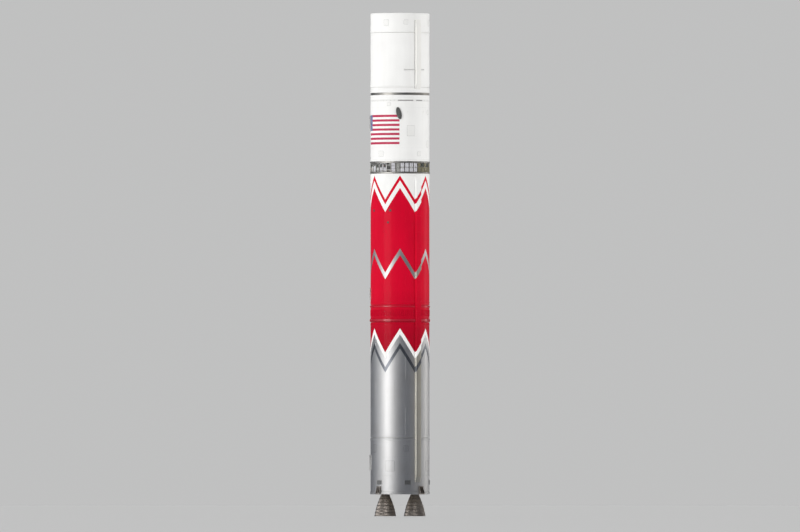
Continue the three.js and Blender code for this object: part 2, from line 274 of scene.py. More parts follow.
def disc(r, z0, z1, bevel=0.0, sides=24, hole=0.0):
    """A round boss or ring about local Z."""
    b = min(bevel, (z1 - z0) * 0.9)
    prof = [(r, z0), (r, z1 - b), (r - b * 0.3, z1 - b * 0.3), (r - b, z1)] if b else [(r, z0), (r, z1)]
    s = turned(prof + [(hole, z1)], seg=sides)
    if hole:
        s.extend(turned([(hole, z1), (hole, z0)], seg=sides))
    s.extend(turned([(hole, z0), (r, z0)], seg=sides))
    return s


def tube(points, r, sides=12, closed=False):
    """A round bar or pipe along points."""
    s = Soup()
    pts = [Vector(p) for p in points]
    n = len(pts)
    rings = []
    up = Vector((0, 0, 1))
    prev = None
    for i, p in enumerate(pts):
        a = pts[(i - 1) % n] if (i or closed) else pts[0]
        b = pts[(i + 1) % n] if (i < n - 1 or closed) else pts[-1]
        d = (b - a).normalized()
        if prev is None:
            side = d.cross(up if abs(d.z) < 0.9 else Vector((1, 0, 0))).normalized()
        else:
            side = (prev - d * prev.dot(d)).normalized()
        prev = side
        other = d.cross(side)
        rings.append([(p + side * (r * math.cos(t)) + other * (r * math.sin(t)), side * math.cos(t) + other * math.sin(t)) for t in (2 * math.pi * k / sides for k in range(sides))])
    for i in range(n if closed else n - 1):
        lo, hi = rings[i], rings[(i + 1) % n]
        for k in range(sides):
            q = (k + 1) % sides
            c = [lo[k], lo[q], hi[q], hi[k]]
            s.add([tuple(x[0]) for x in c], [tuple(x[1]) for x in c])
    if not closed:
        s.add([tuple(x[0]) for x in reversed(rings[0])])
        s.add([tuple(x[0]) for x in rings[-1]])
    return s


STUD = {}


def stud(r, h, sides=6):
    if (r, h, sides) not in STUD:
        s = Soup()
        ring = lambda k, z: [(k * math.cos(2 * math.pi * i / sides), k * math.sin(2 * math.pi * i / sides), z) for i in range(sides)]
        a, b, c = ring(r, -0.002), ring(r, h * 0.6), ring(r * 0.7, h)
        for lo, hi in ((a, b), (b, c)):
            for i in range(sides):
                s.add([lo[i], lo[(i + 1) % sides], hi[(i + 1) % sides], hi[i]])
        s.add(c)
        STUD[(r, h, sides)] = s
    return STUD[(r, h, sides)]


def stud_ring(soup, z, r, count, size=0.009, height=0.005, phase=0.0, skip=(), mat=0):
    """Fastener heads in a ring round the body. skip is [(az from, az to)]."""
    for i in range(count):
        az = (360.0 * i / count + phase + 180) % 360 - 180
        if any(a <= az <= b for a, b in skip):
            continue
        soup.extend(stud(size, height), facing(az, r, z), mat)


def curved_plate(az, z, w, h, proud, corner, base=R, bevel=0.004, cols=None, rows=6, mat=0, hole=None):
    """A plate with rounded corners that follows the body. w and h in metres."""
    s = Soup()
    cols = cols or max(4, int(math.degrees(w / base) / 1.5))
    corner = min(corner, w / 2 - 1e-4, h / 2 - 1e-4)
    ys = [-h / 2]
    n = 5
    for i in range(1, n + 1):
        ys.append(-h / 2 + corner * (1 - math.cos(math.pi / 2 * i / n)))
    for i in range(1, rows):
        ys.append(-h / 2 + corner + (h - 2 * corner) * i / rows)
    for i in range(n + 1):
        ys.append(h / 2 - corner * (1 - math.cos(math.pi / 2 * (n - i) / n)))

    def half(y, inset):
        e = h / 2 - abs(y)
        k = w / 2
        if e < corner:
            k -= corner - math.sqrt(max(0.0, corner**2 - (corner - e) ** 2))
        return max(k - inset, 1e-4)

    def at(x, y, r):
        return on_body(az + math.degrees(x / base), r, z + y)

    top = base + proud
    for y0, y1 in zip(ys, ys[1:]):
        if y1 - y0 < 1e-7:
            continue
        q0, q1 = [y * (1 - 2 * bevel / h) for y in (y0, y1)]
        for i in range(cols):
            t0, t1 = -1 + 2 * i / cols, -1 + 2 * (i + 1) / cols
            pts = [at(t0 * half(y0, bevel), q0, top), at(t1 * half(y0, bevel), q0, top), at(t1 * half(y1, bevel), q1, top), at(t0 * half(y1, bevel), q1, top)]
            nrm = []
            for t, y in ((t0, y0), (t1, y0), (t1, y1), (t0, y1)):
                a = math.radians(az) + t * half(y, bevel) / base
                nrm.append((math.sin(a), -math.cos(a), 0.0))
            s.add(pts, nrm, mat)
        for sgn in (-1, 1):
            a, b = sgn * half(y0, 0), sgn * half(y1, 0)
            ai, bi = sgn * half(y0, bevel), sgn * half(y1, bevel)
            outer = [at(a, y0, top - bevel), at(b, y1, top - bevel)]
            inner = [at(ai, q0, top), at(bi, q1, top)]
            foot = [at(a, y0, base - 0.002), at(b, y1, base - 0.002)]
            for lo, hi in ((foot, outer), (outer, inner)):
                quad = [lo[0], lo[1], hi[1], hi[0]]
                s.add(quad if sgn > 0 else quad[::-1], None, mat)
    for sgn in (-1, 1):
        y, q = sgn * h / 2, sgn * h / 2 * (1 - 2 * bevel / h)
        for i in range(cols):
            t0, t1 = -1 + 2 * i / cols, -1 + 2 * (i + 1) / cols
            k, ki = half(y, 0), half(y, bevel)
            rows_ = [[at(t0 * k, y, base - 0.002), at(t1 * k, y, base - 0.002)], [at(t0 * k, y, top - bevel), at(t1 * k, y, top - bevel)], [at(t0 * ki, q, top), at(t1 * ki, q, top)]]
            for lo, hi in zip(rows_, rows_[1:]):
                quad = [lo[0], lo[1], hi[1], hi[0]]
                s.add(quad if sgn < 0 else quad[::-1], None, mat)
    return s


# ------------------------------------------------------------------ finishes
def shader(name):
    m = bpy.data.materials.new(name)
    m.use_nodes = True
    nt = m.node_tree
    bsdf = nt.nodes["Principled BSDF"]
    return m, nt, bsdf


def node(nt, kind, **inputs):
    n = nt.nodes.new(kind)
    for k, v in inputs.items():
        if k in n.inputs.keys():
            n.inputs[k].default_value = v
    return n


def coords(nt, scale=(1, 1, 1)):
    tc = nt.nodes.new("ShaderNodeTexCoord")
    mp = nt.nodes.new("ShaderNodeMapping")
    mp.inputs["Scale"].default_value = scale
    nt.links.new(tc.outputs["Object"], mp.inputs["Vector"])
    return mp.outputs["Vector"]


def noise(nt, scale, detail=3.0, stretch=(1, 1, 1), rough=0.5):
    n = nt.nodes.new("ShaderNodeTexNoise")
    n.inputs["Scale"].default_value = scale
    n.inputs["Detail"].default_value = detail
    n.inputs["Roughness"].default_value = rough
    nt.links.new(coords(nt, stretch), n.inputs["Vector"])
    return n.outputs["Fac"]


def ramp(nt, fac, stops):
    r = nt.nodes.new("ShaderNodeValToRGB")
    nt.links.new(fac, r.inputs["Fac"])
    e = r.color_ramp.elements
    while len(e) < len(stops):
        e.new(0.5)
    for el, (pos, col) in zip(e, stops):
        el.position = pos
        el.color = (*col, 1) if len(col) == 3 else col
    return r.outputs["Color"]


def mix(nt, fac, a, b, kind="MIX"):
    n = nt.nodes.new("ShaderNodeMix")
    n.data_type = "RGBA"
    n.blend_type = kind
    for sock, v in ((n.inputs[0], fac), (n.inputs[6], a), (n.inputs[7], b)):
        if hasattr(v, "is_output") or isinstance(v, bpy.types.NodeSocket):
            nt.links.new(v, sock)
        elif isinstance(v, (int, float)):
            sock.default_value = v
        else:
            sock.default_value = (*v, 1)
    return n.outputs[2]


def remap(nt, fac, lo, hi, a=0.0, b=1.0):
    n = nt.nodes.new("ShaderNodeMapRange")
    nt.links.new(fac, n.inputs["Value"])
    for k, v in (("From Min", a), ("From Max", b), ("To Min", lo), ("To Max", hi)):
        n.inputs[k].default_value = v
    return n.outputs["Result"]


def bump(nt, height, strength, distance=0.01, after=None):
    b = nt.nodes.new("ShaderNodeBump")
    b.inputs["Strength"].default_value = strength
    b.inputs["Distance"].default_value = distance
    nt.links.new(height, b.inputs["Height"])
    if after is not None:
        nt.links.new(after, b.inputs["Normal"])
    return b.outputs["Normal"]


def paint(name, rgb, rough=0.4, coat=0.0, metallic=0.0, streak=0.06, mottle=0.05, tint=(0.55, 0.52, 0.45), spec=0.5, peel=0.12, coat_rough=0.12, darken_low=None):
    """Sprayed paint: cloudy tone, faint runs of dirt down the body, orange peel. The last argument, (low, high, tone at
    the low end) in real metres, darkens the paint towards the bottom: a deeper tone low down that is in part painted
    shade.
    """
    m, nt, b = shader(name)
    cloud = noise(nt, 0.9, 4)
    runs = noise(nt, 1.0, 5, (5.0, 5.0, 0.35))
    fine = noise(nt, 14, 4)
    dark = tuple(c * (1 - mottle * 2) for c in rgb)
    light = tuple(min(1, c * (1 + mottle)) for c in rgb)
    col = ramp(nt, cloud, [(0.3, dark), (0.7, light)])
    dirt = remap(nt, runs, 0.0, streak, 0.5, 0.85)
    col = mix(nt, dirt, col, tuple(c * t for c, t in zip(rgb, tint)))
    # painted shade in part: from high down to low the colour is multiplied down to the given tone, and stays so below
    if darken_low:
        low, high, tone = darken_low
        split = nt.nodes.new("ShaderNodeSeparateXYZ")
        nt.links.new(coords(nt, (1, 1, 1)), split.inputs["Vector"])
        col = mix(nt, remap(nt, split.outputs["Z"], 1.0, 0.0, low * S, high * S), col, (tone, tone, tone * 1.04), "MULTIPLY")
    nt.links.new(col, b.inputs["Base Color"])
    nt.links.new(remap(nt, fine, rough * 0.85, min(1, rough * 1.2), 0.3, 0.7), b.inputs["Roughness"])
    b.inputs["Metallic"].default_value = metallic
    b.inputs["Specular IOR Level"].default_value = spec
    if coat:
        b.inputs["Coat Weight"].default_value = coat
        b.inputs["Coat Roughness"].default_value = coat_rough
    wave = bump(nt, noise(nt, 1.6, 2), 0.05, 0.02)
    nt.links.new(bump(nt, noise(nt, 90, 2), peel, 0.0008, wave), b.inputs["Normal"])
    return m


def metal(name, rgb, rough=0.35, brushed=(40, 40, 1.2), stain=(0.5, 0.42, 0.34), stain_amount=0.15, metallic=1.0, grain=0.25):
    """Bare or metallic-painted metal with a fine grain along the body and faint stains."""
    m, nt, b = shader(name)
    lines = noise(nt, 3.0, 6, brushed, 0.6)
    cloud = noise(nt, 1.3, 4)
    fine = noise(nt, 30, 3)
    col = ramp(nt, lines, [(0.3, tuple(c * 0.93 for c in rgb)), (0.7, tuple(min(1, c * 1.04) for c in rgb))])
    col = mix(nt, remap(nt, cloud, 0, stain_amount, 0.5, 0.8), col, tuple(c * t for c, t in zip(rgb, stain)))
    nt.links.new(col, b.inputs["Base Color"])
    nt.links.new(remap(nt, lines, rough * 0.92, rough * 1.1, 0.3, 0.7), b.inputs["Roughness"])
    b.inputs["Metallic"].default_value = metallic
    nt.links.new(bump(nt, fine, grain * 0.2, 0.0006, bump(nt, noise(nt, 1.2, 2), 0.04, 0.02)), b.inputs["Normal"])
    return m


def matte(name, rgb, rough=0.8, mottle=0.2, scale=20, grain=0.4, sheen=0.0, second=None):
    """Foam, primer, blanket, composite or rubber: uneven tone with a grain."""
    m, nt, b = shader(name)
    big = noise(nt, scale * 0.15, 4)
    small = noise(nt, scale, 5)
    a = tuple(c * (1 - mottle) for c in rgb)
    z = second or tuple(min(1, c * (1 + mottle)) for c in rgb)
    col = ramp(nt, big, [(0.3, a), (0.72, z)])
    col = mix(nt, remap(nt, small, 0, 0.35, 0.45, 0.75), col, tuple(c * 0.6 for c in rgb))
    nt.links.new(col, b.inputs["Base Color"])
    nt.links.new(remap(nt, small, rough * 0.85, min(1, rough * 1.15), 0.3, 0.7), b.inputs["Roughness"])
    if sheen:
        b.inputs["Sheen Weight"].default_value = sheen
    nt.links.new(bump(nt, small, grain, 0.003), b.inputs["Normal"])
    return m


def blanket(name, rgb, pitch=0.006, rough=0.75, shine=0.0):
    """Woven insulation cloth: two crossed waves of threads, uneven tone, soft soil."""
    m, nt, b = shader(name)
    tc = coords(nt)
    bands = []
    for axis in ("X", "Y", "Z"):
        w = nt.nodes.new("ShaderNodeTexWave")
        w.bands_direction = axis
        w.inputs["Scale"].default_value = 1 / pitch / 6.283 * 2
        w.inputs["Distortion"].default_value = 0.6
        nt.links.new(tc, w.inputs["Vector"])
        bands.append(w.outputs["Fac"])
    weave = mix(nt, 0.5, mix(nt, 0.5, bands[0], bands[1]), bands[2])
    cloud = noise(nt, 2.2, 5)
    col = ramp(nt, cloud, [(0.3, tuple(c * 0.8 for c in rgb)), (0.7, tuple(min(1, c * 1.12) for c in rgb))])
    col = mix(nt, remap(nt, noise(nt, 7, 4), 0, 0.3, 0.5, 0.8), col, tuple(c * 0.55 for c in rgb))
    nt.links.new(col, b.inputs["Base Color"])
    b.inputs["Roughness"].default_value = rough
    b.inputs["Metallic"].default_value = shine
    b.inputs["Sheen Weight"].default_value = 0.2
    nt.links.new(bump(nt, weave, 0.3, 0.001, bump(nt, noise(nt, 9, 3), 0.35, 0.01)), b.inputs["Normal"])
    return m


def foil(name, rgb, rough=0.22):
    """Crinkled metal film."""
    m, nt, b = shader(name)
    folds = nt.nodes.new("ShaderNodeTexVoronoi")
    folds.inputs["Scale"].default_value = 34
    nt.links.new(coords(nt, (1, 1, 0.7)), folds.inputs["Vector"])
    col = ramp(nt, noise(nt, 9, 4), [(0.3, tuple(c * 0.85 for c in rgb)), (0.7, rgb)])
    nt.links.new(col, b.inputs["Base Color"])
    b.inputs["Metallic"].default_value = 0.8
    b.inputs["Roughness"].default_value = rough
    nt.links.new(bump(nt, folds.outputs["Distance"], 0.7, 0.006, bump(nt, noise(nt, 40, 3), 0.3, 0.003)), b.inputs["Normal"])
    return m


WHITE = paint("white_paint", (0.92, 0.92, 0.91), rough=0.5, streak=0.07, mottle=0.018, spec=0.35)
WHITE_B = paint("white_paint_doors", (0.88, 0.88, 0.865), rough=0.5, streak=0.07, mottle=0.02, spec=0.35)
CREAM = paint("white_paint_covers", (0.90, 0.893, 0.867), rough=0.48, streak=0.10, mottle=0.02, spec=0.35)
SEALANT = matte("sealant", (0.40, 0.40, 0.385), rough=0.7, mottle=0.08, scale=30, grain=0.1)
# both reds darken towards the bottom of the booster, a deeper tone that is in part painted shade
RED = paint("red_paint", (0.655, 0.0018, 0.0255), rough=0.42, coat=0.07, streak=0.10, mottle=0.035, tint=(0.6, 0.3, 0.6), spec=0.05, coat_rough=0.08, darken_low=(14.6, 18.8, 0.64))
RED_GLOSS = paint("red_gloss_flange", (0.535, 0.004, 0.027), rough=0.3, coat=0.6, streak=0.06, mottle=0.03, tint=(0.6, 0.3, 0.6), spec=0.4, coat_rough=0.10, darken_low=(14.6, 18.8, 0.64))
SILVER = metal("silver_metallic", (0.66, 0.66, 0.665), rough=0.48, stain_amount=0.12)
# the raceway covers on the silver carry a warm tint, a painted warm reflection
SILVER_WARM_REFLECTION = metal("silver_covers_painted_warm_reflection", (0.66, 0.64, 0.575), rough=0.5, stain_amount=0.16)
GUNMETAL = metal("dark_silver", (0.20, 0.21, 0.235), rough=0.36, stain_amount=0.1)
PANEL_RED = paint("panel_red", (0.52, 0.036, 0.095), rough=0.5, streak=0.05, spec=0.25)
PANEL_BLUE = paint("panel_blue", (0.15, 0.17, 0.34), rough=0.5, streak=0.05, spec=0.25)
JOINT = metal("joint_ring", (0.50, 0.485, 0.46), rough=0.45, stain_amount=0.3)
PALE_METAL = metal("pale_metal", (0.62, 0.62, 0.61), rough=0.4)
HARD_GREY = paint("hardware_grey", (0.54, 0.55, 0.535), rough=0.55, streak=0.3)
BAY_GREY = matte("bay_wall", (0.34, 0.34, 0.325), rough=0.6, mottle=0.3)
HARD_DARK = matte("hardware_dark", (0.06, 0.062, 0.06), rough=0.6)
HARD_OLIVE = matte("hardware_olive", (0.20, 0.185, 0.115), rough=0.65)
HARD_PALE = paint("hardware_pale", (0.64, 0.64, 0.68), rough=0.55, streak=0.2, spec=0.3)
GAP_GREY = matte("door_gap", (0.13, 0.13, 0.128), rough=0.7)
# near-black for the gaps round the aft doors and the faces of plugs and couplings, and as painted shade: a dark sheet
# in vent and port openings in place of the shade inside
DARK_AND_OPENING_SHADE = matte("dark_and_painted_opening_shade", (0.03, 0.03, 0.032), rough=0.7)
FASTENER = metal("fastener", (0.5, 0.5, 0.49), rough=0.4, grain=0.1)
FASTENER_W = paint("fastener_white", (0.74, 0.74, 0.72), rough=0.45)
ENGINE = metal("engine_alloy", (0.42, 0.39, 0.36), rough=0.38, brushed=(3, 3, 3), stain=(0.55, 0.4, 0.28), stain_amount=0.5)
COPPER = metal("nozzle_alloy", (0.44, 0.395, 0.36), rough=0.5, brushed=(60, 60, 0.6), stain=(0.6, 0.42, 0.3), stain_amount=0.45)
CARBON = matte("carbon_composite", (0.028, 0.028, 0.03), rough=0.55, scale=60, grain=0.25)
SOOT = matte("chamber_dark", (0.02, 0.018, 0.016), rough=0.8)
BLANKET = blanket("thermal_blanket", (0.50, 0.47, 0.40))
BOOT_CLOTH = blanket("boot_cloth", (0.34, 0.33, 0.30), pitch=0.008)
FOAM = matte("spray_foam", (0.60, 0.47, 0.28), rough=0.9, mottle=0.15, scale=24, grain=0.9)
FOAM_W = matte("white_foam", (0.72, 0.70, 0.64), rough=0.85, mottle=0.08, scale=26, grain=0.7)
PRIMER = matte("green_primer", (0.44, 0.45, 0.33), rough=0.6, mottle=0.08, scale=12, grain=0.12)
TOP_RING = metal("machined_ring", (0.60, 0.60, 0.595), rough=0.45, stain_amount=0.2, metallic=0.35)
BOX_GREY = paint("avionics_grey", (0.16, 0.165, 0.17), rough=0.5)
BOX_GOLD = foil("gold_film", (0.86, 0.60, 0.24))
CABLE = matte("cable_jacket", (0.05, 0.05, 0.055), rough=0.5)

# ------------------------------------------------------------------ livery
# Level zigzags round the body: a row gives the middle height of the edge, in real metres.
CHEVRON_DEG, CHEVRON_RISE, CHEVRON_PEAK = 60.0, 2.2, 0.0


def zigzag(az):
    """-0.5 in a valley to 0.5 on a peak."""
    t = ((az - CHEVRON_PEAK) / CHEVRON_DEG) % 1.0
    return 2 * abs(t - 0.5) - 0.5


W_, R_, S_, D_ = range(4)  # white, red, silver, dark silver
BANDS = [  # middle height, colour above it, from the top down
    (28.1, W_), (27.65, R_), (26.95, W_), (21.4, R_), (20.8, S_), (14.1, R_), (13.55, W_), (12.75, S_), (12.25, D_),
]
LAST = S_
LIVERY = [WHITE, RED, SILVER, GUNMETAL]


def livery_at(p):
    u = p[2] / S - CHEVRON_RISE * zigzag(az_of(p))
    for height, colour in BANDS:
        if u > height:
            return colour
    return LAST


def apply_livery(soup):
    lo = min(p[2] for q in soup.polys for p in q[0]) / S - CHEVRON_RISE
    hi = max(p[2] for q in soup.polys for p in q[0]) / S + CHEVRON_RISE
    for height, _ in BANDS:
        if lo < height < hi:
            soup.split(lambda p, h=height: p[2] / S - CHEVRON_RISE * zigzag(az_of(p)) - h)
    soup.paint(livery_at)


# ------------------------------------------------------------------ joints between the sections, in real metres
Z = {"skirt": 5.2, "lower": 15.78, "intertank": 17.34, "upper": 29.39, "ring": 30.49, "separation": 36.69, "stage_ring": 37.29, "adapter": 42.29, "top": 44.1}
EASE = 0.012  # half a joint line
DOME_R = 2.5


def skin_profile(z0, z1, bands=(), flanges=()):
    """Outer wall from z0 to z1. bands: (middle, width, proud); flanges: (low, high, proud)."""
    marks = [(zc - w / 2, zc + w / 2, p, 0.3) for zc, w, p in bands]
    marks += [(a, b, p, min(p * 0.7, (b - a) * 0.3) / (b - a)) for a, b, p in flanges]
    prof = [(R, z0 * S)]
    for a, b, p, lead in sorted(marks):
        c = (b - a) * lead
        prof += [(R, a * S), (R + p * S, (a + c) * S), (R + p * S, (b - c) * S), (R, b * S)]
    prof.append((R, z1 * S))
    rows = [prof[0]]
    for (r0, a), (r1, b) in zip(prof, prof[1:]):
        n = max(1, int((b - a) / 0.5)) if r0 == r1 else 1
        rows += [(r0 + (r1 - r0) * i / n, a + (b - a) * i / n) for i in range(1, n + 1)]
    return rows


def half_ellipse(r, z, depth, n=18):
    """From the rim to the pole; a negative depth hangs down."""
    pts = [(r * math.cos(math.pi / 2 * i / n), z + depth * math.sin(math.pi / 2 * i / n)) for i in range(n + 1)]
    pts[-1] = (0.0, pts[-1][1])
    return pts


def body_section(z0, z1, aft=0.0, forward=0.0, **marks):
    """Closed skin of one section, in livery, with the ends turned in to a fine joint line. Returns it with its end faces as material 4."""
    a, b = z0 + EASE, z1 - EASE
    s = turned(skin_profile(a, b, **marks))
    apply_livery(s)
    lip = Soup()
    lip.extend(turned([(R - 0.014, a * S), (R, a * S)]))
    lip.extend(turned([(R, b * S), (R - 0.014, b * S)]))
    low = half_ellipse(DOME_R * S, a * S, -aft * S)[::-1] if aft else [(0, a * S)]
    top = half_ellipse(DOME_R * S, b * S, forward * S) if forward else [(0, b * S)]
    lip.extend(turned(low + [(R - 0.014, a * S)], seg=96))
    lip.extend(turned([(R - 0.014, b * S)] + top, seg=96))
    s.extend(lip, mat=4)
    return s


def rib(az, z0, z1, w, proud, base=R, soft=0.35, step=0.6):
    """A low upright strip on the skin, sizes in metres."""
    s = Soup()
    n = max(1, int((z1 - z0) / step))
    half = math.degrees(w / 2 / base)
    cols = [(-half, -0.001), (-half * (1 - soft), proud), (half * (1 - soft), proud), (half, -0.001)]
    zs = [z0 + (z1 - z0) * i / n for i in range(n + 1)]
    for a, b in zip(zs, zs[1:]):
        for (d0, p0), (d1, p1) in zip(cols, cols[1:]):
            s.add([on_body(az + d0, base + p0, a), on_body(az + d1, base + p1, a), on_body(az + d1, base + p1, b), on_body(az + d0, base + p0, b)])
    s.add([on_body(az + d, base + p, zs[0]) for d, p in reversed(cols)])
    s.add([on_body(az + d, base + p, zs[-1]) for d, p in cols])
    return s


def inside(az, r, z):
    """Like facing, but looking in at the axis from the wall."""
    a = math.radians(az)
    out = Vector((-math.sin(a), math.cos(a), 0))
    along = Vector((-math.cos(a), -math.sin(a), 0))
    m = Matrix((along, Vector((0, 0, 1)), out)).transposed().to_4x4()
    m.translation = -out * r + Vector((0, 0, z))
    return m


WELD = 0.11
SECTIONS = [  # name, node, z0, z1, aft dome, forward dome, bands, flanges, number of long seams, slot
    ("lower_tank_skin", "lower_propellant_tank", "skirt", "lower", 1.3, 0, [(5.40, 0.18, 0.01), (7.95, WELD, 0.008), (10.5, WELD, 0.008), (13.05, WELD, 0.008), (15.55, 0.18, 0.01)], [], 8, "tank_red"),
    ("intertank_skin", "intertank", "lower", "intertank", 0, 0, [(16.28, 0.05, 0.01), (16.95, 0.05, 0.01)], [(15.80, 16.10, 0.07), (17.12, 17.30, 0.045)], 0, "tank_red"),
    ("upper_tank_skin", "upper_propellant_tank", "intertank", "upper", 0, 1.9, [(17.56, 0.18, 0.01), (20.45, WELD, 0.008), (23.35, WELD, 0.008), (26.25, WELD, 0.008), (29.2, 0.18, 0.01)], [], 8, "tank_red"),
]
seams = Soup()
for name, cad, a, b, aft, forward, bands, flanges, long_seams, slot in SECTIONS:
    s = body_section(Z[a], Z[b], aft, forward, bands=bands, flanges=flanges)
    s.paint_some(lambda c, m: 5 if m == 1 and math.hypot(c[0], c[1]) > R + 0.018 else m)
    s.build(name, LIVERY + [FOAM_W, RED_GLOSS], "booster", slot, [cad])
    stops = [x[0] for x in bands]
    for k, (lo, hi) in enumerate(zip(stops, stops[1:])):
        for i in range(long_seams):
            az = 360 / long_seams * (i + 0.5 * (k % 2)) + 11
            seams.extend(rib(az, (lo + 0.06) * S, (hi - 0.06) * S, 0.022, 0.0022))
# stringers of the intertank, between its flanges
for i in range(96):
    seams.extend(rib(i * 3.75 + 1.9, 16.34 * S, 16.90 * S, 0.034, 0.011, soft=0.25))
apply_livery(seams)
seams.build("booster_seams_and_stringers", LIVERY, "booster", "tank_red")

# ------------------------------------------------------------------ aft skirt
s = turned(skin_profile(0.02, Z["skirt"] - EASE, flanges=[(0.02, 0.26, 0.035), (4.95, 5.12, 0.03)], bands=[(1.75, 0.12, 0.012), (3.4, 0.12, 0.012)]))
apply_livery(s)
zt = (Z["skirt"] - EASE) * S
s.extend(turned([(R, zt), (R - 0.05, zt), (R - 0.05, 0.2 * S), (2.45 * S, 0.2 * S), (2.45 * S, 0), (R - 0.004, 0), (R, 0.02 * S)]), mat=4)
s.build("aft_skirt_skin", LIVERY + [TOP_RING], "booster", "skin_silver", ["aft_skirt"])

# ------------------------------------------------------------------ interstage
SLOT_Z = (36.02, 36.13)
zt = (Z["separation"] - 0.006) * S
s = turned(skin_profile(Z["ring"] + EASE, SLOT_Z[0], bands=[(30.68, 0.22, 0.014), (31.75, 0.06, 0.008), (35.45, 0.06, 0.008)]))
# the shallow groove is painted grey, painted shade in its recess
s.extend(turned([(R, SLOT_Z[0] * S), (R - 0.008, SLOT_Z[0] * S + 0.004), (R - 0.008, SLOT_Z[1] * S - 0.004), (R, SLOT_Z[1] * S)]), mat=1)
s.extend(turned(skin_profile(SLOT_Z[1], 36.57)))
s.extend(turned([(R, 36.57 * S), (R - 0.012, 36.585 * S), (R - 0.012, zt), (R - 0.07, zt)]), mat=2)
s.extend(turned([(R - 0.07, zt), (R - 0.07, zt - 0.06), (R - 0.04, zt - 0.06), (R - 0.04, (Z["ring"] + EASE) * S), (R, (Z["ring"] + EASE) * S)]), mat=3)
s.build("interstage_skin", [WHITE, paint("groove_painted_shade", (0.36, 0.36, 0.355), rough=0.6, spec=0.2), JOINT, PRIMER], "booster", "skin_white", ["interstage"])

s = Soup()  # stringers and ring frames on the inner wall
for i in range(60):
    s.extend(block(-0.02, 0.02, 30.62 * S, 36.5 * S, -0.002, 0.026, 0.006), inside(i * 6.0, R - 0.04, 0))
for z in (31.6, 33.0, 34.4, 35.8):
    s.extend(turned([(R - 0.042, z * S - 0.02), (R - 0.042, z * S + 0.02), (R - 0.078, z * S + 0.02), (R - 0.078, z * S + 0.014), (R - 0.05, z * S + 0.010), (R - 0.05, z * S - 0.02), (R - 0.042, z * S - 0.02)], seg=120))
s.build("interstage_stringers", [PRIMER], "booster", "primer")

# bright blocks that sit in the second groove, so that it shows as dashes
s = Soup()
for i in range(48):
    az = i * 7.5 - 180
    if -6 < az < 24 or 36 < az < 51 or 120 < az < 160 or -150 < az < -120:
        continue
    s.extend(curved_plate(az, (SLOT_Z[0] + SLOT_Z[1]) / 2 * S, 0.165, 0.046, 0.001, 0.004, base=R - 0.008 + 0.006, bevel=0.001, rows=1, cols=4))
s.build("interstage_joint_covers", [WHITE_B], "booster", "skin_white")

# ------------------------------------------------------------------ upper stage
zs = (Z["separation"] + 0.006) * S
s = turned([(R - 0.07, zs), (R - 0.012, zs), (R - 0.012, zs + 0.045), (R, zs + 0.052)])
s.paint(lambda c: 1)
s.extend(turned(skin_profile(zs / S + 0.104, Z["stage_ring"] - 0.01)), mat=0)
zt = (Z["stage_ring"] - 0.01) * S
s.extend(turned([(R, zt), (R - 0.04, zt), (R - 0.04, zs + 0.06), (R - 0.07, zs + 0.06), (R - 0.07, zs)]), mat=2)
s.build("stage_separation_ring_skin", [WHITE, JOINT, PRIMER], "upper_stage", "skin_white", ["stage_separation_ring"])

a, b = (Z["stage_ring"] + 0.004) * S, (Z["adapter"] - 0.004) * S
s = turned(half_ellipse(DOME_R * S, a, -1.9 * S)[::-1] + [(R - 0.008, a), (R, a + 0.004)])
s.paint(lambda c: 1)
s.extend(turned(skin_profile(Z["stage_ring"] + 0.012, Z["adapter"] - 0.012, bands=[(37.45, 0.16, 0.008), (39.75, WELD, 0.007), (42.10, 0.16, 0.008)])))
s.extend(turned([(R, b - 0.004), (R - 0.008, b)] + half_ellipse(DOME_R * S, b, 1.3 * S)), mat=1)
s.build("upper_stage_tank_skin", [WHITE, FOAM_W], "upper_stage", "tank_white", ["upper_stage_tank"])

z0, z1 = Z["adapter"] + 0.012, Z["top"]
s = turned(skin_profile(z0, z1 - 0.02, bands=[(42.42, 0.16, 0.014), (43.97, 0.18, 0.014)]))
s.extend(turned([(R, (z1 - 0.02) * S), (R - 0.006, z1 * S), (2.43 * S, z1 * S), (2.42 * S, (z1 - 0.01) * S), (2.42 * S, (z1 - 0.08) * S), (R - 0.04, (z1 - 0.08) * S)]), mat=2)
s.extend(turned([(R - 0.04, (z1 - 0.08) * S), (R - 0.04, z0 * S), (R, z0 * S)]), mat=1)
s.build("forward_adapter_skin", [WHITE, PRIMER, TOP_RING], "upper_stage", "skin_white", ["forward_adapter"])

s = Soup()  # stringers inside the forward adapter, above and below the shelf
for i in range(48):
    for lo, hi in ((42.36, 43.24), (43.40, 43.98)):
        s.extend(block(-0.014, 0.014, lo * S, hi * S, -0.002, 0.018, 0.004), inside(i * 7.5 + 3.75, R - 0.04, 0))
s.build("forward_adapter_stringers", [PRIMER], "upper_stage", "primer")

s = Soup()  # long seams of the upper stage's barrel and adapter
for i in range(6):
    s.extend(rib(i * 60 - 52, 37.56 * S, 39.68 * S, 0.02, 0.0018))
    s.extend(rib(i * 60 - 22, 39.82 * S, 42.0 * S, 0.02, 0.0018))
for i in range(4):
    s.extend(rib(i * 90 - 74, 42.52 * S, 43.86 * S, 0.035, 0.0022))
s.build("upper_stage_seams", [WHITE], "upper_stage", "skin_white")

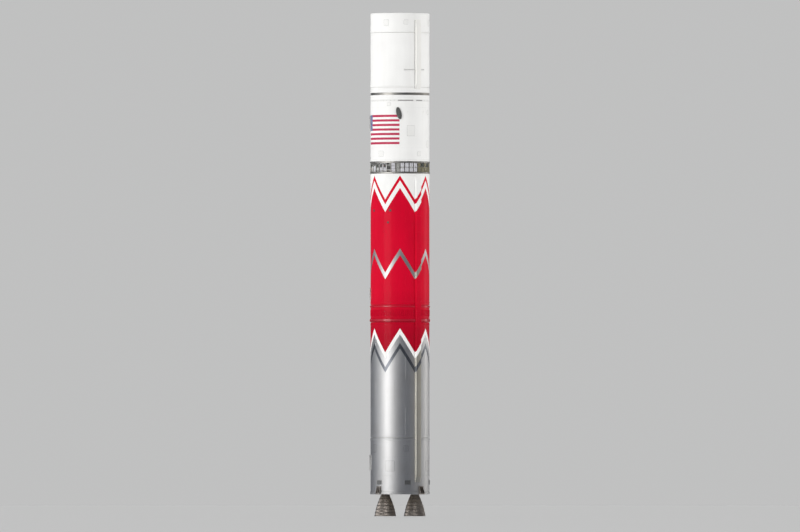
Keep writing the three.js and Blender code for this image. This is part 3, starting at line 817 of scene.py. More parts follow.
# ------------------------------------------------------------------ gores, covers and pipes on the domes
def dome_trim(z, depth, gores, cover_r, sign, up):
    """Radial seams and a bolted cover in the middle of a dome. z and depth in real metres."""
    s = Soup()

    def point(k, r):
        q = math.sqrt(max(0.0, 1 - (r / DOME_R) ** 2))
        x, y, zz = on_body(k, r * S, z * S + sign * depth * S * q)
        return (x, y, zz)

    for i in range(gores):
        az = 360 / gores * i + 7
        s.extend(tube([point(az, r) for r in [cover_r + (DOME_R - 0.03 - cover_r) * t / 12 for t in range(13)]], 0.007, 8), mat=0)
    for ring in (0.45, 0.75):
        r = DOME_R * ring
        s.extend(tube([point(az, r) for az in range(0, 360, 5)], 0.006, 8, closed=True), mat=0)
    zc = z * S + sign * depth * S
    flip = Matrix.Translation((0, 0, zc)) @ (Matrix.Identity(4) if sign > 0 else Matrix.Rotation(math.pi, 4, "X"))
    s.extend(disc(cover_r * S, -0.05, 0.028, 0.006, 48), flip, 1)
    s.extend(disc(cover_r * S * 0.8, 0.028, 0.036, 0.004, 48), flip, 1)
    s.extend(disc(0.05, 0.036, 0.075, 0.006, 24), flip, 1)
    for i in range(24):
        a = math.radians(15 * i)
        s.extend(stud(0.009, 0.009), flip @ Matrix.Translation((cover_r * S * 0.9 * math.cos(a), cover_r * S * 0.9 * math.sin(a), 0.028)), 2)
    return s


dome_trim(Z["upper"] - EASE, 1.9, 12, 0.42, 1, True).build("booster_forward_dome_trim", [FOAM_W, PALE_METAL, FASTENER], "booster", "tank_white")
dome_trim(Z["adapter"] - 0.004, 1.3, 12, 0.42, 1, True).build("stage_forward_dome_trim", [FOAM_W, PALE_METAL, FASTENER], "upper_stage", "tank_white")
dome_trim(Z["stage_ring"] + 0.004, 1.9, 12, 0.34, -1, False).build("stage_aft_dome_trim", [FOAM_W, PALE_METAL, FASTENER], "upper_stage", "tank_white")

# ------------------------------------------------------------------ fasteners of the sections
s = Soup()
RACEWAYS = [(31, 43), (-149, -137)]
for z, r, count, size in ((5.035, R + 0.015, 120, 0.011), (15.95, R + 0.035, 144, 0.012), (17.21, R + 0.0225, 144, 0.011), (0.14, R + 0.0175, 120, 0.011),
                          (5.40, R + 0.005, 144, 0.007), (15.55, R + 0.005, 144, 0.007), (17.56, R + 0.005, 144, 0.007), (29.20, R + 0.005, 144, 0.007),
                          (1.75, R + 0.006, 144, 0.007), (3.4, R + 0.006, 144, 0.007)):
    stud_ring(s, z * S, r, count, size, 0.006, skip=RACEWAYS)
s.paint(livery_at)
s.build("booster_fasteners", LIVERY, "booster", "tank_red")
s = Soup()
for z, r, count, size in ((30.68, R + 0.007, 144, 0.008), (36.35, R, 120, 0.008), (31.75, R + 0.004, 144, 0.006), (35.45, R + 0.004, 144, 0.006)):
    stud_ring(s, z * S, r, count, size, 0.005)
s.build("interstage_fasteners", [FASTENER_W], "booster", "skin_white")
s = Soup()
for z, r, count, size in ((36.95, R, 120, 0.008), (37.12, R, 120, 0.008), (37.45, R + 0.004, 144, 0.006), (42.10, R + 0.004, 144, 0.006), (42.42, R + 0.007, 144, 0.007), (43.97, R + 0.007, 144, 0.007)):
    stud_ring(s, z * S, r, count, size, 0.005, skip=RACEWAYS)
for i in range(120):  # the flange that the fairing bolts to
    x, y, z = on_body(i * 3, 2.56 * S, Z["top"] * S)
    s.extend(disc(0.013, -0.001, 0.004, 0.001, 12, hole=0.007), Matrix.Translation((x, y, z)))
s.build("upper_stage_fasteners", [FASTENER_W], "upper_stage", "skin_white")

# ------------------------------------------------------------------ raceways
def raceway(z0, z1, az, pitch, painted, body, name, slot, cad):
    """Cover of a cable tray, in lengths with joint grooves, and sealant along both feet. Real metres."""
    side = [(-0.300, -0.035), (-0.294, 0.09), (-0.286, 0.142), (-0.270, 0.172), (-0.242, 0.188), (-0.14, 0.193), (0, 0.195)]
    sec = side + [(-x, h) for x, h in reversed(side[:-1])]
    frame_ = facing(az, R, 0)
    at = lambda x, z, h: tuple(frame_ @ Vector((x * S, z * S, h * S)))
    rows = [(z0, 0.10, 0), (z0 + 0.05, 0.2, 0), (z0 + 0.45, 0.93, 0), (z0 + 0.52, 0.985, 0), (z0 + 0.6, 1, 0)]
    n = max(1, round((z1 - z0 - 1.2) / pitch))
    joints = [z0 + 0.62 + (z1 - z0 - 1.24) * i / n for i in range(n + 1)]
    for zj in joints:
        rows += [(zj - 0.020, 1, 0), (zj - 0.014, 1, 0.014), (zj + 0.014, 1, 0.014), (zj + 0.020, 1, 0)]
    rows += [(z1 - 0.6, 1, 0), (z1 - 0.52, 0.985, 0), (z1 - 0.45, 0.93, 0), (z1 - 0.05, 0.2, 0), (z1, 0.10, 0)]
    rows.sort()
    s = Soup()

    def line(z, f, d):
        out = []
        for x, h in sec:
            k = h * f if h > 0 else h
            out.append(at(x * (1 - d * 2), z, k - (d if h > 0 else 0)))
        return out

    lines = [line(*r) for r in rows]
    for lo, hi in zip(lines, lines[1:]):
        for i in range(len(sec)):
            j = (i + 1) % len(sec)
            s.add([lo[i], lo[j], hi[j], hi[i]])
    s.add(lines[0][::-1])
    s.add(lines[-1])
    for sgn in (-1, 1):
        foot = [(sgn * 0.292, 0.022), (sgn * 0.296, 0.022), (sgn * 0.310, 0.004), (sgn * 0.332, -0.0205), (sgn * 0.292, -0.03)]
        zs = [z0 + 0.06 + (z1 - z0 - 0.12) * i / 30 for i in range(31)]
        for a, b in zip(zs, zs[1:]):
            for (x0, h0), (x1, h1) in zip(foot, foot[1:] + foot[:1]):
                quad = [at(x0, a, h0), at(x1, a, h1), at(x1, b, h1), at(x0, b, h0)]
                s.add(quad if sgn > 0 else quad[::-1], None, 1)
        for z, up in ((zs[0], False), (zs[-1], True)):
            cap = [at(x, z, h) for x, h in foot]
            s.add(cap if (sgn > 0) == up else cap[::-1], None, 1)
    if painted:
        apply_livery(s)
    studs = Soup()
    for zj in joints:
        for dz in (-0.055, 0.055):
            for x in (-0.2, -0.1, 0, 0.1, 0.2):
                studs.extend(stud(0.008, 0.004), frame_ @ Matrix.Translation((x * S, (zj + dz) * S, 0.193 * S)))
    for a, b in zip(joints, joints[1:]):
        m_ = max(1, round((b - a) / 0.22))
        for i in range(1, m_):
            for x in (-0.232, 0.232):
                studs.extend(stud(0.008, 0.004), frame_ @ Matrix.Translation((x * S, (a + (b - a) * i / m_) * S, 0.187 * S)))
    if painted:
        studs.paint(livery_at)
    s.extend(studs)
    # on the silver the raceway takes the warm-tinted silver, a painted reflection
    s.build(name, [SILVER_WARM_REFLECTION if m is SILVER else m for m in LIVERY] if painted else [CREAM, SEALANT], body, slot, [cad])


for az, side in ((37, "front"), (217, "rear")):
    raceway(1.1, 29.1, az, 1.5, True, "booster", f"booster_raceway_cover_{side}", "tank_red", f"booster_raceway_{side}")
    raceway(37.1, 43.5, az, 1.3, False, "upper_stage", f"upper_stage_raceway_cover_{side}", "skin_white", f"upper_stage_raceway_{side}")

# ------------------------------------------------------------------ doors, vents and marks on the skins
def door(s, az, z, w, h, corner=0.06, proud=0.004, studs_=True, mats=(0, 1, 2), handle=False):
    """A bolted access door with a dark gap round it. Real metres."""
    s.extend(curved_plate(az, z * S, (w + 0.018) * S, (h + 0.018) * S, 0.0006, (corner + 0.009) * S, bevel=0.0004), mat=mats[1])
    s.extend(curved_plate(az, z * S, w * S, h * S, proud, corner * S, bevel=0.0015), mat=mats[0])
    if studs_:
        nx, ny = max(2, round(w / 0.11)), max(2, round(h / 0.11))
        spots = [(-w / 2 + 0.04 + (w - 0.08) * i / (nx - 1), y) for i in range(nx) for y in (-h / 2 + 0.04, h / 2 - 0.04)]
        spots += [(x, -h / 2 + 0.04 + (h - 0.08) * i / (ny - 1)) for i in range(1, ny - 1) for x in (-w / 2 + 0.04, w / 2 - 0.04)]
        for x, y in spots:
            s.extend(stud(0.006, 0.003), facing(az + math.degrees(x * S / R), R + proud, (z + y) * S), mats[2])


def louvre_vent(s, az, z, w, h, slats, mats=(0, 1)):
    """A framed vent with slanted slats. Real metres."""
    m_ = facing(az, R, z * S)
    W, H = w * S, h * S
    s.extend(curved_plate(az, z * S, W - 0.008, H - 0.008, 0.002, 0.012, bevel=0.001), mat=mats[1])
    t = 0.014
    s.extend(rim(W, H, t, -0.01, 0.012, 0.003), m_, mats[0])
    for i in range(slats):
        y = -H / 2 + t + (H - 2 * t) * (i + 0.5) / slats
        slat = block(-W / 2 + t * 0.8, W / 2 - t * 0.8, -0.0015, 0.0015, -(H / slats) * 0.42, (H / slats) * 0.42, 0.001)
        s.extend(slat, m_ @ Matrix.Translation((0, y, 0.006)) @ Matrix.Rotation(math.radians(58), 4, "X"), mats[0])


s = Soup()
for az, z, w, h in ((22, 33.3, 0.75, 0.95), (70, 32.1, 0.5, 0.6), (70, 35.0, 0.42, 0.42), (112, 33.3, 0.75, 0.95), (160, 34.5, 0.5, 0.6), (-160, 33.3, 0.75, 0.95), (-128, 31.25, 0.5, 0.5), (-40, 31.2, 0.6, 0.5), (-22, 35.75, 0.34, 0.3), (40, 31.2, 0.34, 0.4)):
    door(s, az, z, w, h)
for az in (15, 52, 128, -170, -128):
    s.extend(curved_plate(az, 35.05 * S, 0.05, 0.08, 0.012, 0.02, bevel=0.005), mat=0)
s.build("interstage_doors", [WHITE_B, GAP_GREY, FASTENER_W], "booster", "skin_white")

s = Soup()
for az, z, w, h in ((-28, 43.2, 0.5, 0.55), (12, 43.25, 0.42, 0.42), (78, 43.2, 0.5, 0.55), (140, 43.2, 0.5, 0.55), (-110, 43.2, 0.5, 0.55), (180, 43.2, 0.42, 0.42)):
    door(s, az, z, w, h)
s.build("forward_adapter_doors", [WHITE_B, GAP_GREY, FASTENER_W], "upper_stage", "skin_white")

# a line support that runs level from the upper stage's raceway, with its clamps
s = Soup()
for lo, hi, z in ((9, 30, 38.9), (44, 53, 38.9), (190, 209, 38.9)):
    s.extend(tube([on_body(lo + (hi - lo) * i / 16, R + 0.017, z * S) for i in range(17)], 0.012, 10), mat=0)
    n_ = max(2, round((hi - lo) / 5))
    for i in range(n_ + 1):
        s.extend(block(-0.012, 0.012, -0.026, 0.026, -0.004, 0.033, 0.004), facing(lo + (hi - lo) * i / n_, R, z * S), 1)
    s.extend(block(-0.04, 0.04, -0.035, 0.035, -0.004, 0.036, 0.006), facing(lo, R, z * S), 1)
s.build("upper_stage_line_support", [paint("line_grey", (0.50, 0.50, 0.50), rough=0.5), paint("clamp_white", (0.70, 0.70, 0.69), rough=0.5)], "upper_stage", "skin_white")

s = Soup()  # small vents and sensor covers on the booster, dark on the red
for az, z, w, h in ((-19.6, 26.0, 0.26, 0.22), (-61.6, 26.0, 0.26, 0.22), (-24.1, 24.9, 0.2, 0.2), (100, 26.0, 0.26, 0.22), (160, 24.9, 0.22, 0.2), (-140, 26.0, 0.26, 0.22)):
    s.extend(curved_plate(az, z * S, w * S, h * S, 0.010, 0.03, bevel=0.004), mat=0)
    s.extend(disc(0.028, 0, 0.004, 0.001, 20, hole=0.018), facing(az, R + 0.0105, z * S), 1)
s.build("booster_sensor_covers", [paint("cover_dark_red", (0.20, 0.030, 0.038), rough=0.5), HARD_DARK], "booster", "port_dark")

s = Soup()
doors = Soup()
for az, z, w, h in ((-20, 2.6, 0.9, 0.95), (70, 2.6, 0.9, 0.95), (110, 4.2, 0.6, 0.7), (160, 2.6, 0.9, 0.95), (-160, 2.6, 0.9, 0.95), (-60, 4.2, 0.6, 0.7), (12, 4.2, 0.5, 0.5)):
    door(doors, az, z, w, h, mats=(0, 1, 2))
# behind the slats a dark sheet is painted shade of the vent's opening
for az in (-45, 15, 85, 180):
    louvre_vent(doors, az, 1.1, 0.62, 0.42, 7, mats=(3, 1))
doors.build("aft_skirt_doors", [metal("silver_doors", (0.63, 0.63, 0.635), rough=0.47, stain_amount=0.12), DARK_AND_OPENING_SHADE, FASTENER, PALE_METAL], "booster", "skin_silver")

# ------------------------------------------------------------------ striped panel on the interstage
def patch(s, az0, az1, z0, z1, mat, proud=0.0012):
    cols = max(1, round((az1 - az0) / 1.875))
    for i in range(cols):
        a, b = az0 + (az1 - az0) * i / cols, az0 + (az1 - az0) * (i + 1) / cols
        nrm = [(math.sin(math.radians(k)), -math.cos(math.radians(k)), 0.0) for k in (a, b, b, a)]
        s.add([on_body(a, R + proud, z0 * S), on_body(b, R + proud, z0 * S), on_body(b, R + proud, z1 * S), on_body(a, R + proud, z1 * S)], nrm, mat)


s = Soup()
PANEL = (-82.0, -1.0, 32.06, 34.76)
CORNER = 14.0  # degrees of the plain corner, most of it round the edge
STRIPES = 13
for k in range(STRIPES):
    lo = PANEL[3] - (PANEL[3] - PANEL[2]) * (k + 1) / STRIPES
    hi = PANEL[3] - (PANEL[3] - PANEL[2]) * k / STRIPES
    start = PANEL[0] + CORNER if k < 7 else PANEL[0]
    patch(s, start, PANEL[1], lo, hi, 0 if k % 2 == 0 else 1)
patch(s, PANEL[0], PANEL[0] + CORNER, PANEL[3] - (PANEL[3] - PANEL[2]) * 7 / STRIPES, PANEL[3], 2)
for az0, az1, z0, z1 in ((PANEL[0], PANEL[1], PANEL[2], PANEL[2]), (PANEL[0], PANEL[1], PANEL[3], PANEL[3])):
    cols = 40
    for i in range(cols):
        a, b = az0 + (az1 - az0) * i / cols, az0 + (az1 - az0) * (i + 1) / cols
        q = [on_body(a, R - 0.002, z0 * S), on_body(b, R - 0.002, z0 * S), on_body(b, R + 0.0012, z0 * S), on_body(a, R + 0.0012, z0 * S)]
        s.add(q if z0 == PANEL[2] else q[::-1], None, 0)
for az in (PANEL[0], PANEL[1]):
    q = [on_body(az, R - 0.002, PANEL[2] * S), on_body(az, R + 0.0012, PANEL[2] * S), on_body(az, R + 0.0012, PANEL[3] * S), on_body(az, R - 0.002, PANEL[3] * S)]
    s.add(q if az == PANEL[0] else q[::-1], None, 0)
s.build("striped_panel", [PANEL_RED, WHITE, PANEL_BLUE], "booster", "skin_white")

# ------------------------------------------------------------------ oval vent port
def oval(rx, ry, n=48):
    return [(rx * math.cos(2 * math.pi * i / n), ry * math.sin(2 * math.pi * i / n)) for i in range(n)]


s = Soup()
port = facing(-2, R, 34.9 * S) @ Matrix.Rotation(math.radians(14), 4, "Z")
levels = [((0.24, 0.58), -0.012), ((0.24, 0.58), 0.020), ((0.232, 0.572), 0.028), ((0.205, 0.545), 0.030), ((0.195, 0.535), 0.026), ((0.19, 0.53), 0.004)]
rings = [[tuple(port @ Vector((x * S, y * S, h))) for x, y in oval(*rr)] for rr, h in levels]
for k, (lo, hi) in enumerate(zip(rings, rings[1:])):
    for i in range(48):
        j = (i + 1) % 48
        s.add([lo[i], lo[j], hi[j], hi[i]], None, 0)
# the port's floor is dark, painted shade of its opening
s.add(rings[-1], None, 1)
for k in range(11):
    y = -0.47 + 0.94 * k / 10
    half = 0.185 * math.sqrt(max(0, 1 - (y / 0.535) ** 2))
    if half > 0.03:
        s.extend(block(-half * S, half * S, -0.0015, 0.0015, -0.014, 0.014, 0.001), port @ Matrix.Translation((0, y * S, 0.015)) @ Matrix.Rotation(math.radians(50), 4, "X"), 2)
for k in range(20):
    a = 2 * math.pi * k / 20
    s.extend(stud(0.004, 0.003), port @ Matrix.Translation((0.2215 * S * math.cos(a), 0.5625 * S * math.sin(a), 0.0285)), 3)
s.build("vent_port", [paint("port_rim_grey", (0.17, 0.172, 0.17), rough=0.5), DARK_AND_OPENING_SHADE, matte("vent_slat", (0.19, 0.195, 0.19), rough=0.5), FASTENER], "booster", "port_dark", ["interstage_vent_port"])

# ------------------------------------------------------------------ umbilical panels
def umbilical(name, cad, w, proud, z0, z1, az, rows_):
    """A framed plate with couplings and plugs that face out. Real metres; rows_: (x, z from the middle, radius, kind)."""
    s = Soup()
    m_ = facing(az, R, (z0 + z1) / 2 * S)
    W, H, P = w * S, (z1 - z0) * S, proud * S
    t = 0.022
    s.extend(block(-W / 2 + t * 0.5, W / 2 - t * 0.5, -H / 2 + t * 0.5, H / 2 - t * 0.5, -0.028, P - 0.018, 0.002), m_, 0)
    s.extend(rim(W, H, t, -0.03, P, 0.003), m_, 1)
    for i in range(round(W / 0.06)):
        for y in (-H / 2 + t / 2, H / 2 - t / 2):
            s.extend(stud(0.005, 0.003), m_ @ Matrix.Translation((-W / 2 + t + (W - 2 * t) * i / (round(W / 0.06) - 1), y, P)), 3)
    for i in range(round(H / 0.07)):
        for x in (-W / 2 + t / 2, W / 2 - t / 2):
            s.extend(stud(0.005, 0.003), m_ @ Matrix.Translation((x, -H / 2 + t + (H - 2 * t) * i / (round(H / 0.07) - 1), P)), 3)
    base = P - 0.018
    for x, y, r, kind in rows_:
        q = m_ @ Matrix.Translation((x * S, y * S, base))
        r *= S
        if kind == "fluid":
            s.extend(disc(r * 1.25, 0, 0.006, 0.002, 32), q, 1)
            s.extend(disc(r, 0.006, 0.016, 0.003, 32, hole=r * 0.72), q, 2)
            s.extend(disc(r * 0.72, 0.0, 0.008, 0.001, 32), q, 4)
            s.extend(disc(r * 0.3, 0.008, 0.013, 0.003, 16), q, 2)
            for k in range(8):
                a = math.radians(45 * k + 22.5)
                s.extend(stud(0.004, 0.003), q @ Matrix.Translation((r * 1.12 * math.cos(a), r * 1.12 * math.sin(a), 0.006)), 3)
        else:
            s.extend(block(-r * 1.1, r * 1.1, -r * 1.1, r * 1.1, 0, 0.004, 0.001), q, 1)
            s.extend(disc(r, 0.004, 0.015, 0.002, 20, hole=r * 0.8), q, 5)
            s.extend(disc(r * 0.8, 0.0, 0.009, 0.001, 20), q, 4)
            for k in range(5):
                a = math.radians(72 * k)
                s.extend(disc(0.0022, 0.009, 0.013, 0.0005, 8), q @ Matrix.Translation((r * 0.45 * math.cos(a), r * 0.45 * math.sin(a), 0)), 3)
    s.build(name, [HARD_GREY, PALE_METAL, ENGINE, FASTENER, DARK_AND_OPENING_SHADE, paint("plug_green", (0.10, 0.22, 0.12), rough=0.5)], "booster", "ring_grey", [cad])


umbilical("umbilical_plate_aft", "umbilical_panel_aft", 0.8, 0.12, 2.2, 3.6, -90,
          [(-0.17, 0.38, 0.11, "fluid"), (0.18, 0.38, 0.11, "fluid"), (0.0, 0.05, 0.14, "fluid"), (-0.24, -0.22, 0.05, "plug"), (-0.08, -0.22, 0.05, "plug"), (0.08, -0.22, 0.05, "plug"), (0.24, -0.22, 0.05, "plug"),
           (-0.24, -0.4, 0.05, "plug"), (-0.08, -0.4, 0.05, "plug"), (0.08, -0.4, 0.05, "plug"), (0.24, -0.4, 0.05, "plug")])
umbilical("umbilical_plate_booster", "umbilical_panel_booster", 0.6, 0.1, 17.9, 18.9, -90,
          [(0, 0.2, 0.13, "fluid"), (-0.15, -0.1, 0.05, "plug"), (0.02, -0.1, 0.05, "plug"), (0.17, -0.1, 0.05, "plug"), (-0.15, -0.28, 0.05, "plug"), (0.02, -0.28, 0.05, "plug"), (0.17, -0.28, 0.05, "plug")])
umbilical("umbilical_plate_interstage", "umbilical_panel_interstage", 0.62, 0.1, 33.3, 34.7, -90,
          [(-0.12, 0.42, 0.09, "fluid"), (0.14, 0.42, 0.07, "fluid"), (0.0, 0.1, 0.12, "fluid"), (-0.16, -0.2, 0.05, "plug"), (0, -0.2, 0.05, "plug"), (0.16, -0.2, 0.05, "plug"), (-0.16, -0.42, 0.05, "plug"), (0, -0.42, 0.05, "plug"), (0.16, -0.42, 0.05, "plug")])

# ------------------------------------------------------------------ hardware band at the top of the booster
z0, z1 = Z["upper"], Z["ring"]
rf, r1, r0 = R + 0.02, 2.62 * S, R - 0.05
a, b = z0 * S + 0.0005, z1 * S - 0.0005
s = turned([(r0, a), (rf - 0.003, a), (rf, a + 0.003), (rf, a + 0.055), (rf - 0.004, a + 0.06), (r1, a + 0.06)])
s.extend(turned([(r1, b - 0.06), (rf - 0.004, b - 0.06), (rf, b - 0.055), (rf, b - 0.003), (rf - 0.003, b), (r0, b)]))
s.paint(lambda c: 0)
s.extend(turned([(r1, a + 0.06), (r1, b - 0.06)]), mat=1)
s.extend(turned([(r0, b), (r0, a)]), mat=1)
ring_parts = s
for z in (a + 0.03, b - 0.03):
    stud_ring(ring_parts, z, rf, 120, 0.010, 0.006, mat=2)
rnd = random.Random(5)
LO, HI = a + 0.064, b - 0.064
MID, TALL = (LO + HI) / 2, HI - LO
RING_MATS = [JOINT, BAY_GREY, FASTENER, HARD_GREY, HARD_OLIVE, HARD_PALE, BLANKET, ENGINE, paint("cap_green", (0.08, 0.24, 0.13), rough=0.5), paint("cap_red", (0.5, 0.03, 0.04), rough=0.5), CABLE, HARD_DARK]
J_, BW_, FA_, HG_, HO_, HP_, BL_, EN_, CG_, CR_, CB_, HD_ = range(12)


def pads(s, az, w, mat, nx=2, nz=3, proud=0.035):
    for i in range(nx):
        for k in range(nz):
            d = math.degrees((-w / 2 + w * (i + 0.5) / nx) / r1)
            zc = LO + TALL * (k + 0.5) / nz
            s.extend(curved_plate(az + d, zc, w / nx * 0.95, TALL / nz * 0.94, proud, 0.03, base=r1, bevel=0.012, cols=5, rows=2), mat=mat)


def gear_box(s, az, w, h, zc, mat, proud=0.05, plugs=2, cap=None):
    m_ = facing(az, r1, zc)
    s.extend(block(-w / 2, w / 2, -h / 2, h / 2, -0.01, proud, 0.006), m_, mat)
    s.extend(block(-w * 0.38, w * 0.38, -h * 0.36, h * 0.36, proud - 0.001, proud + 0.004, 0.002), m_, mat)
    for sx in (-1, 1):
        for sy in (-1, 1):
            s.extend(stud(0.005, 0.004), m_ @ Matrix.Translation((sx * w * 0.43, sy * h * 0.43, proud)), FA_)
    for k in range(plugs):
        x = -w * 0.25 + w * 0.5 * (k / max(1, plugs - 1))
        s.extend(disc(0.012, 0, 0.012, 0.002, 16), m_ @ Matrix.Translation((x, 0, proud + 0.003)), cap if cap is not None else EN_)


def pipes(s, az, w, mat, count=3):
    for k in range(count):
        d = math.degrees((-w / 2 + w * (k + 0.5) / count) / r1)
        s.extend(tube([on_body(az + d, r1 + 0.022, LO + TALL * t / 4) for t in range(5)], 0.012, 12), mat=mat)
    for zc in (LO + TALL * 0.25, LO + TALL * 0.75):
        s.extend(block(-w / 2, w / 2, -0.012, 0.012, 0.028, 0.038, 0.002), facing(az, r1, zc), HG_)


BAYS = 40
for i in range(BAYS):
    az = 360 / BAYS * (i + 0.5) - 180
    w = math.radians(360 / BAYS) * r1 - 0.03
    s.extend(block(-0.009, 0.009, LO - 0.004, HI + 0.004, -0.01, 0.046, 0.003), facing(az - 180 / BAYS, r1, 0), J_)
    if -12 < az < -2:
        s.extend(disc(0.06, -0.002, 0.03, 0.006, 32, hole=0.045), facing(az, r1, MID), HG_)
        continue
    if -2 <= az < 33:
        pads(s, az, w, HP_, 2, 2, 0.04)
        if rnd.random() < 0.5:
            gear_box(s, az, w * 0.5, 0.09, MID, HG_, 0.05, 1)
        continue
    if 33 <= az < 80:
        gear_box(s, az, w * 0.96, TALL * 0.52, LO + TALL * 0.28, HO_, 0.055, 2)
        gear_box(s, az, w * 0.8, TALL * 0.34, LO + TALL * 0.79, HD_ if i % 2 else HO_, 0.045, 1, CG_ if i % 2 else None)
        continue
    kind = rnd.choice(("pads", "box", "pipes", "door", "box", "pads", "mixed"))
    tone = rnd.choice((HG_, HP_, HG_, BL_, HG_))
    if kind == "pads":
        pads(s, az, w, tone, 2, 3)
    elif kind == "box":
        gear_box(s, az, w * 0.9, TALL * 0.6, LO + TALL * 0.34, tone, 0.05, 2, rnd.choice((CG_, CR_, None)))
        s.extend(tube([on_body(az - 2.6 + 5.2 * t / 6, r1 + 0.022, HI - 0.045 + 0.012 * math.sin(t)) for t in range(7)], 0.012, 10), mat=CB_)
    elif kind == "pipes":
        pipes(s, az, w, rnd.choice((EN_, HG_, CB_)))
    elif kind == "door":
        s.extend(curved_plate(az, MID, w * 0.96, TALL * 0.9, 0.04, 0.03, base=r1, bevel=0.004), mat=tone)
        for sx in (-1, 0, 1):
            for sy in (-1, -0.33, 0.33, 1):
                s.extend(stud(0.006, 0.004), facing(az + math.degrees(sx * w * 0.4 / r1), r1 + 0.04, MID + sy * TALL * 0.38), FA_)
    else:
        gear_box(s, az, w * 0.5, TALL * 0.4, LO + TALL * 0.7, HD_, 0.045, 1, rnd.choice((CG_, CR_)))
        pads(s, az, w, tone, 3, 1, 0.018)
# two lines that run round in front of the bays
for lo, hi, zc, mat in ((-88, -14, LO + 0.06, EN_), (-80, -20, HI - 0.05, CB_), (100, 205, LO + 0.07, EN_), (-175, -100, HI - 0.06, CB_)):
    n_ = round((hi - lo) / 2.5)
    s.extend(tube([on_body(lo + (hi - lo) * t / n_, r1 + 0.062, zc) for t in range(n_ + 1)], 0.009, 10), mat=mat)
    for k in range(0, n_ + 1, 4):
        s.extend(block(-0.012, 0.012, -0.02, 0.02, 0.03, 0.072, 0.003), facing(lo + (hi - lo) * k / n_, r1, zc), HG_)
s.build("booster_forward_ring_hardware", RING_MATS, "booster", "ring_grey", ["booster_forward_ring"])

# ------------------------------------------------------------------ hold-down fittings
def prism(points, t):
    """A flat plate: outline in X and Y, from -t/2 to t/2 along Z."""
    s = Soup()
    lo, hi = [(x, y, -t / 2) for x, y in points], [(x, y, t / 2) for x, y in points]
    n = len(points)
    for i in range(n):
        j = (i + 1) % n
        s.add([lo[i], lo[j], hi[j], hi[i]])
    s.add(hi)
    s.add(lo[::-1])
    return s


def fitting(az, k):
    s = Soup()
    m_ = facing(az, R, 0)
    w, p, h = 0.5 * S, 0.26 * S, 0.75 * S
    # foot, upright back plate, and three webs between them
    s.extend(block(-w / 2, w / 2, 0.0012, 0.045, -0.02, p, 0.004), m_)
    s.extend(block(-w / 2 + 0.001, w / 2 - 0.001, 0.044, h - 0.028, -0.019, 0.016, 0.002), m_)
    for x in (-w / 2 + 0.014, 0.0, w / 2 - 0.014):
        web = prism([(0.0, 0.044), (p - 0.012, 0.044), (p - 0.012, 0.085), (p * 0.62, 0.19), (p * 0.34, h - 0.05), (0.03, h - 0.012), (0.0, h - 0.012)], 0.022)
        s.extend(web, m_ @ Matrix.Translation((x, 0, 0)) @ Matrix(((0, 0, 1, 0), (0, 1, 0, 0), (1, 0, 0, 0), (0, 0, 0, 1))))
    s.extend(block(-w / 2, w / 2, h - 0.03, h, -0.02, 0.05, 0.004), m_)
    for x in (-w * 0.24, w * 0.24):
        s.extend(disc(0.034, 0.0, 0.018, 0.004, 28, hole=0.017), m_ @ Matrix.Translation((x, 0.045, p * 0.58)) @ Matrix.Rotation(-math.pi / 2, 4, "X"), 0)
        for y in (0.12, 0.2, 0.28):
            s.extend(stud(0.012, 0.010), m_ @ Matrix.Translation((x, y, 0.016)), 1)
    s.build(f"hold_down_forging_{k}", [ENGINE, FASTENER], "booster", "engine_metal", [f"hold_down_fitting_{k}"])


for k, az in enumerate((45, 135, 225, 315)):
    fitting(az, k + 1)

# ------------------------------------------------------------------ heat shield and boots
HOLE, OFF, SHIELD_R = 0.7, 1.35, 2.44
s = Soup()
cell = 0.4 / 12
n_ = int(SHIELD_R / cell) + 1
for i in range(-n_, n_):
    for j in range(-n_, n_):
        x0, x1, y0, y1 = i * cell, (i + 1) * cell, j * cell, (j + 1) * cell
        far = max(math.hypot(x, y) for x in (x0, x1) for y in (y0, y1))
        near = min(math.hypot(x, y) for x in (x0, x1) for y in (y0, y1))
        if near > SHIELD_R:
            continue
        s.add([(x0, y0, 0.0), (x0, y1, 0.0), (x1, y1, 0.0), (x1, y0, 0.0)])
s.split(lambda p: math.hypot(p[0], p[1]) - (SHIELD_R - 0.01))
s.drop(lambda c: math.hypot(c[0], c[1]) > SHIELD_R - 0.01)
for sx in (-1, 1):
    s.split(lambda p, sx=sx: math.hypot(p[0] - sx * OFF, p[1]) - (HOLE + 0.01))
    s.drop(lambda c, sx=sx: math.hypot(c[0] - sx * OFF, c[1]) < HOLE + 0.01)


def pillow(p):
    u, v = abs(math.sin(math.pi * p[0] / 0.4)), abs(math.sin(math.pi * p[1] / 0.4))
    lift = 0.040 * (u * v) ** 0.5 + 0.004 * math.sin(23 * p[0] + 7 * p[1]) * u * v
    return (p[0] * S, p[1] * S, (0.05 - lift) * S)


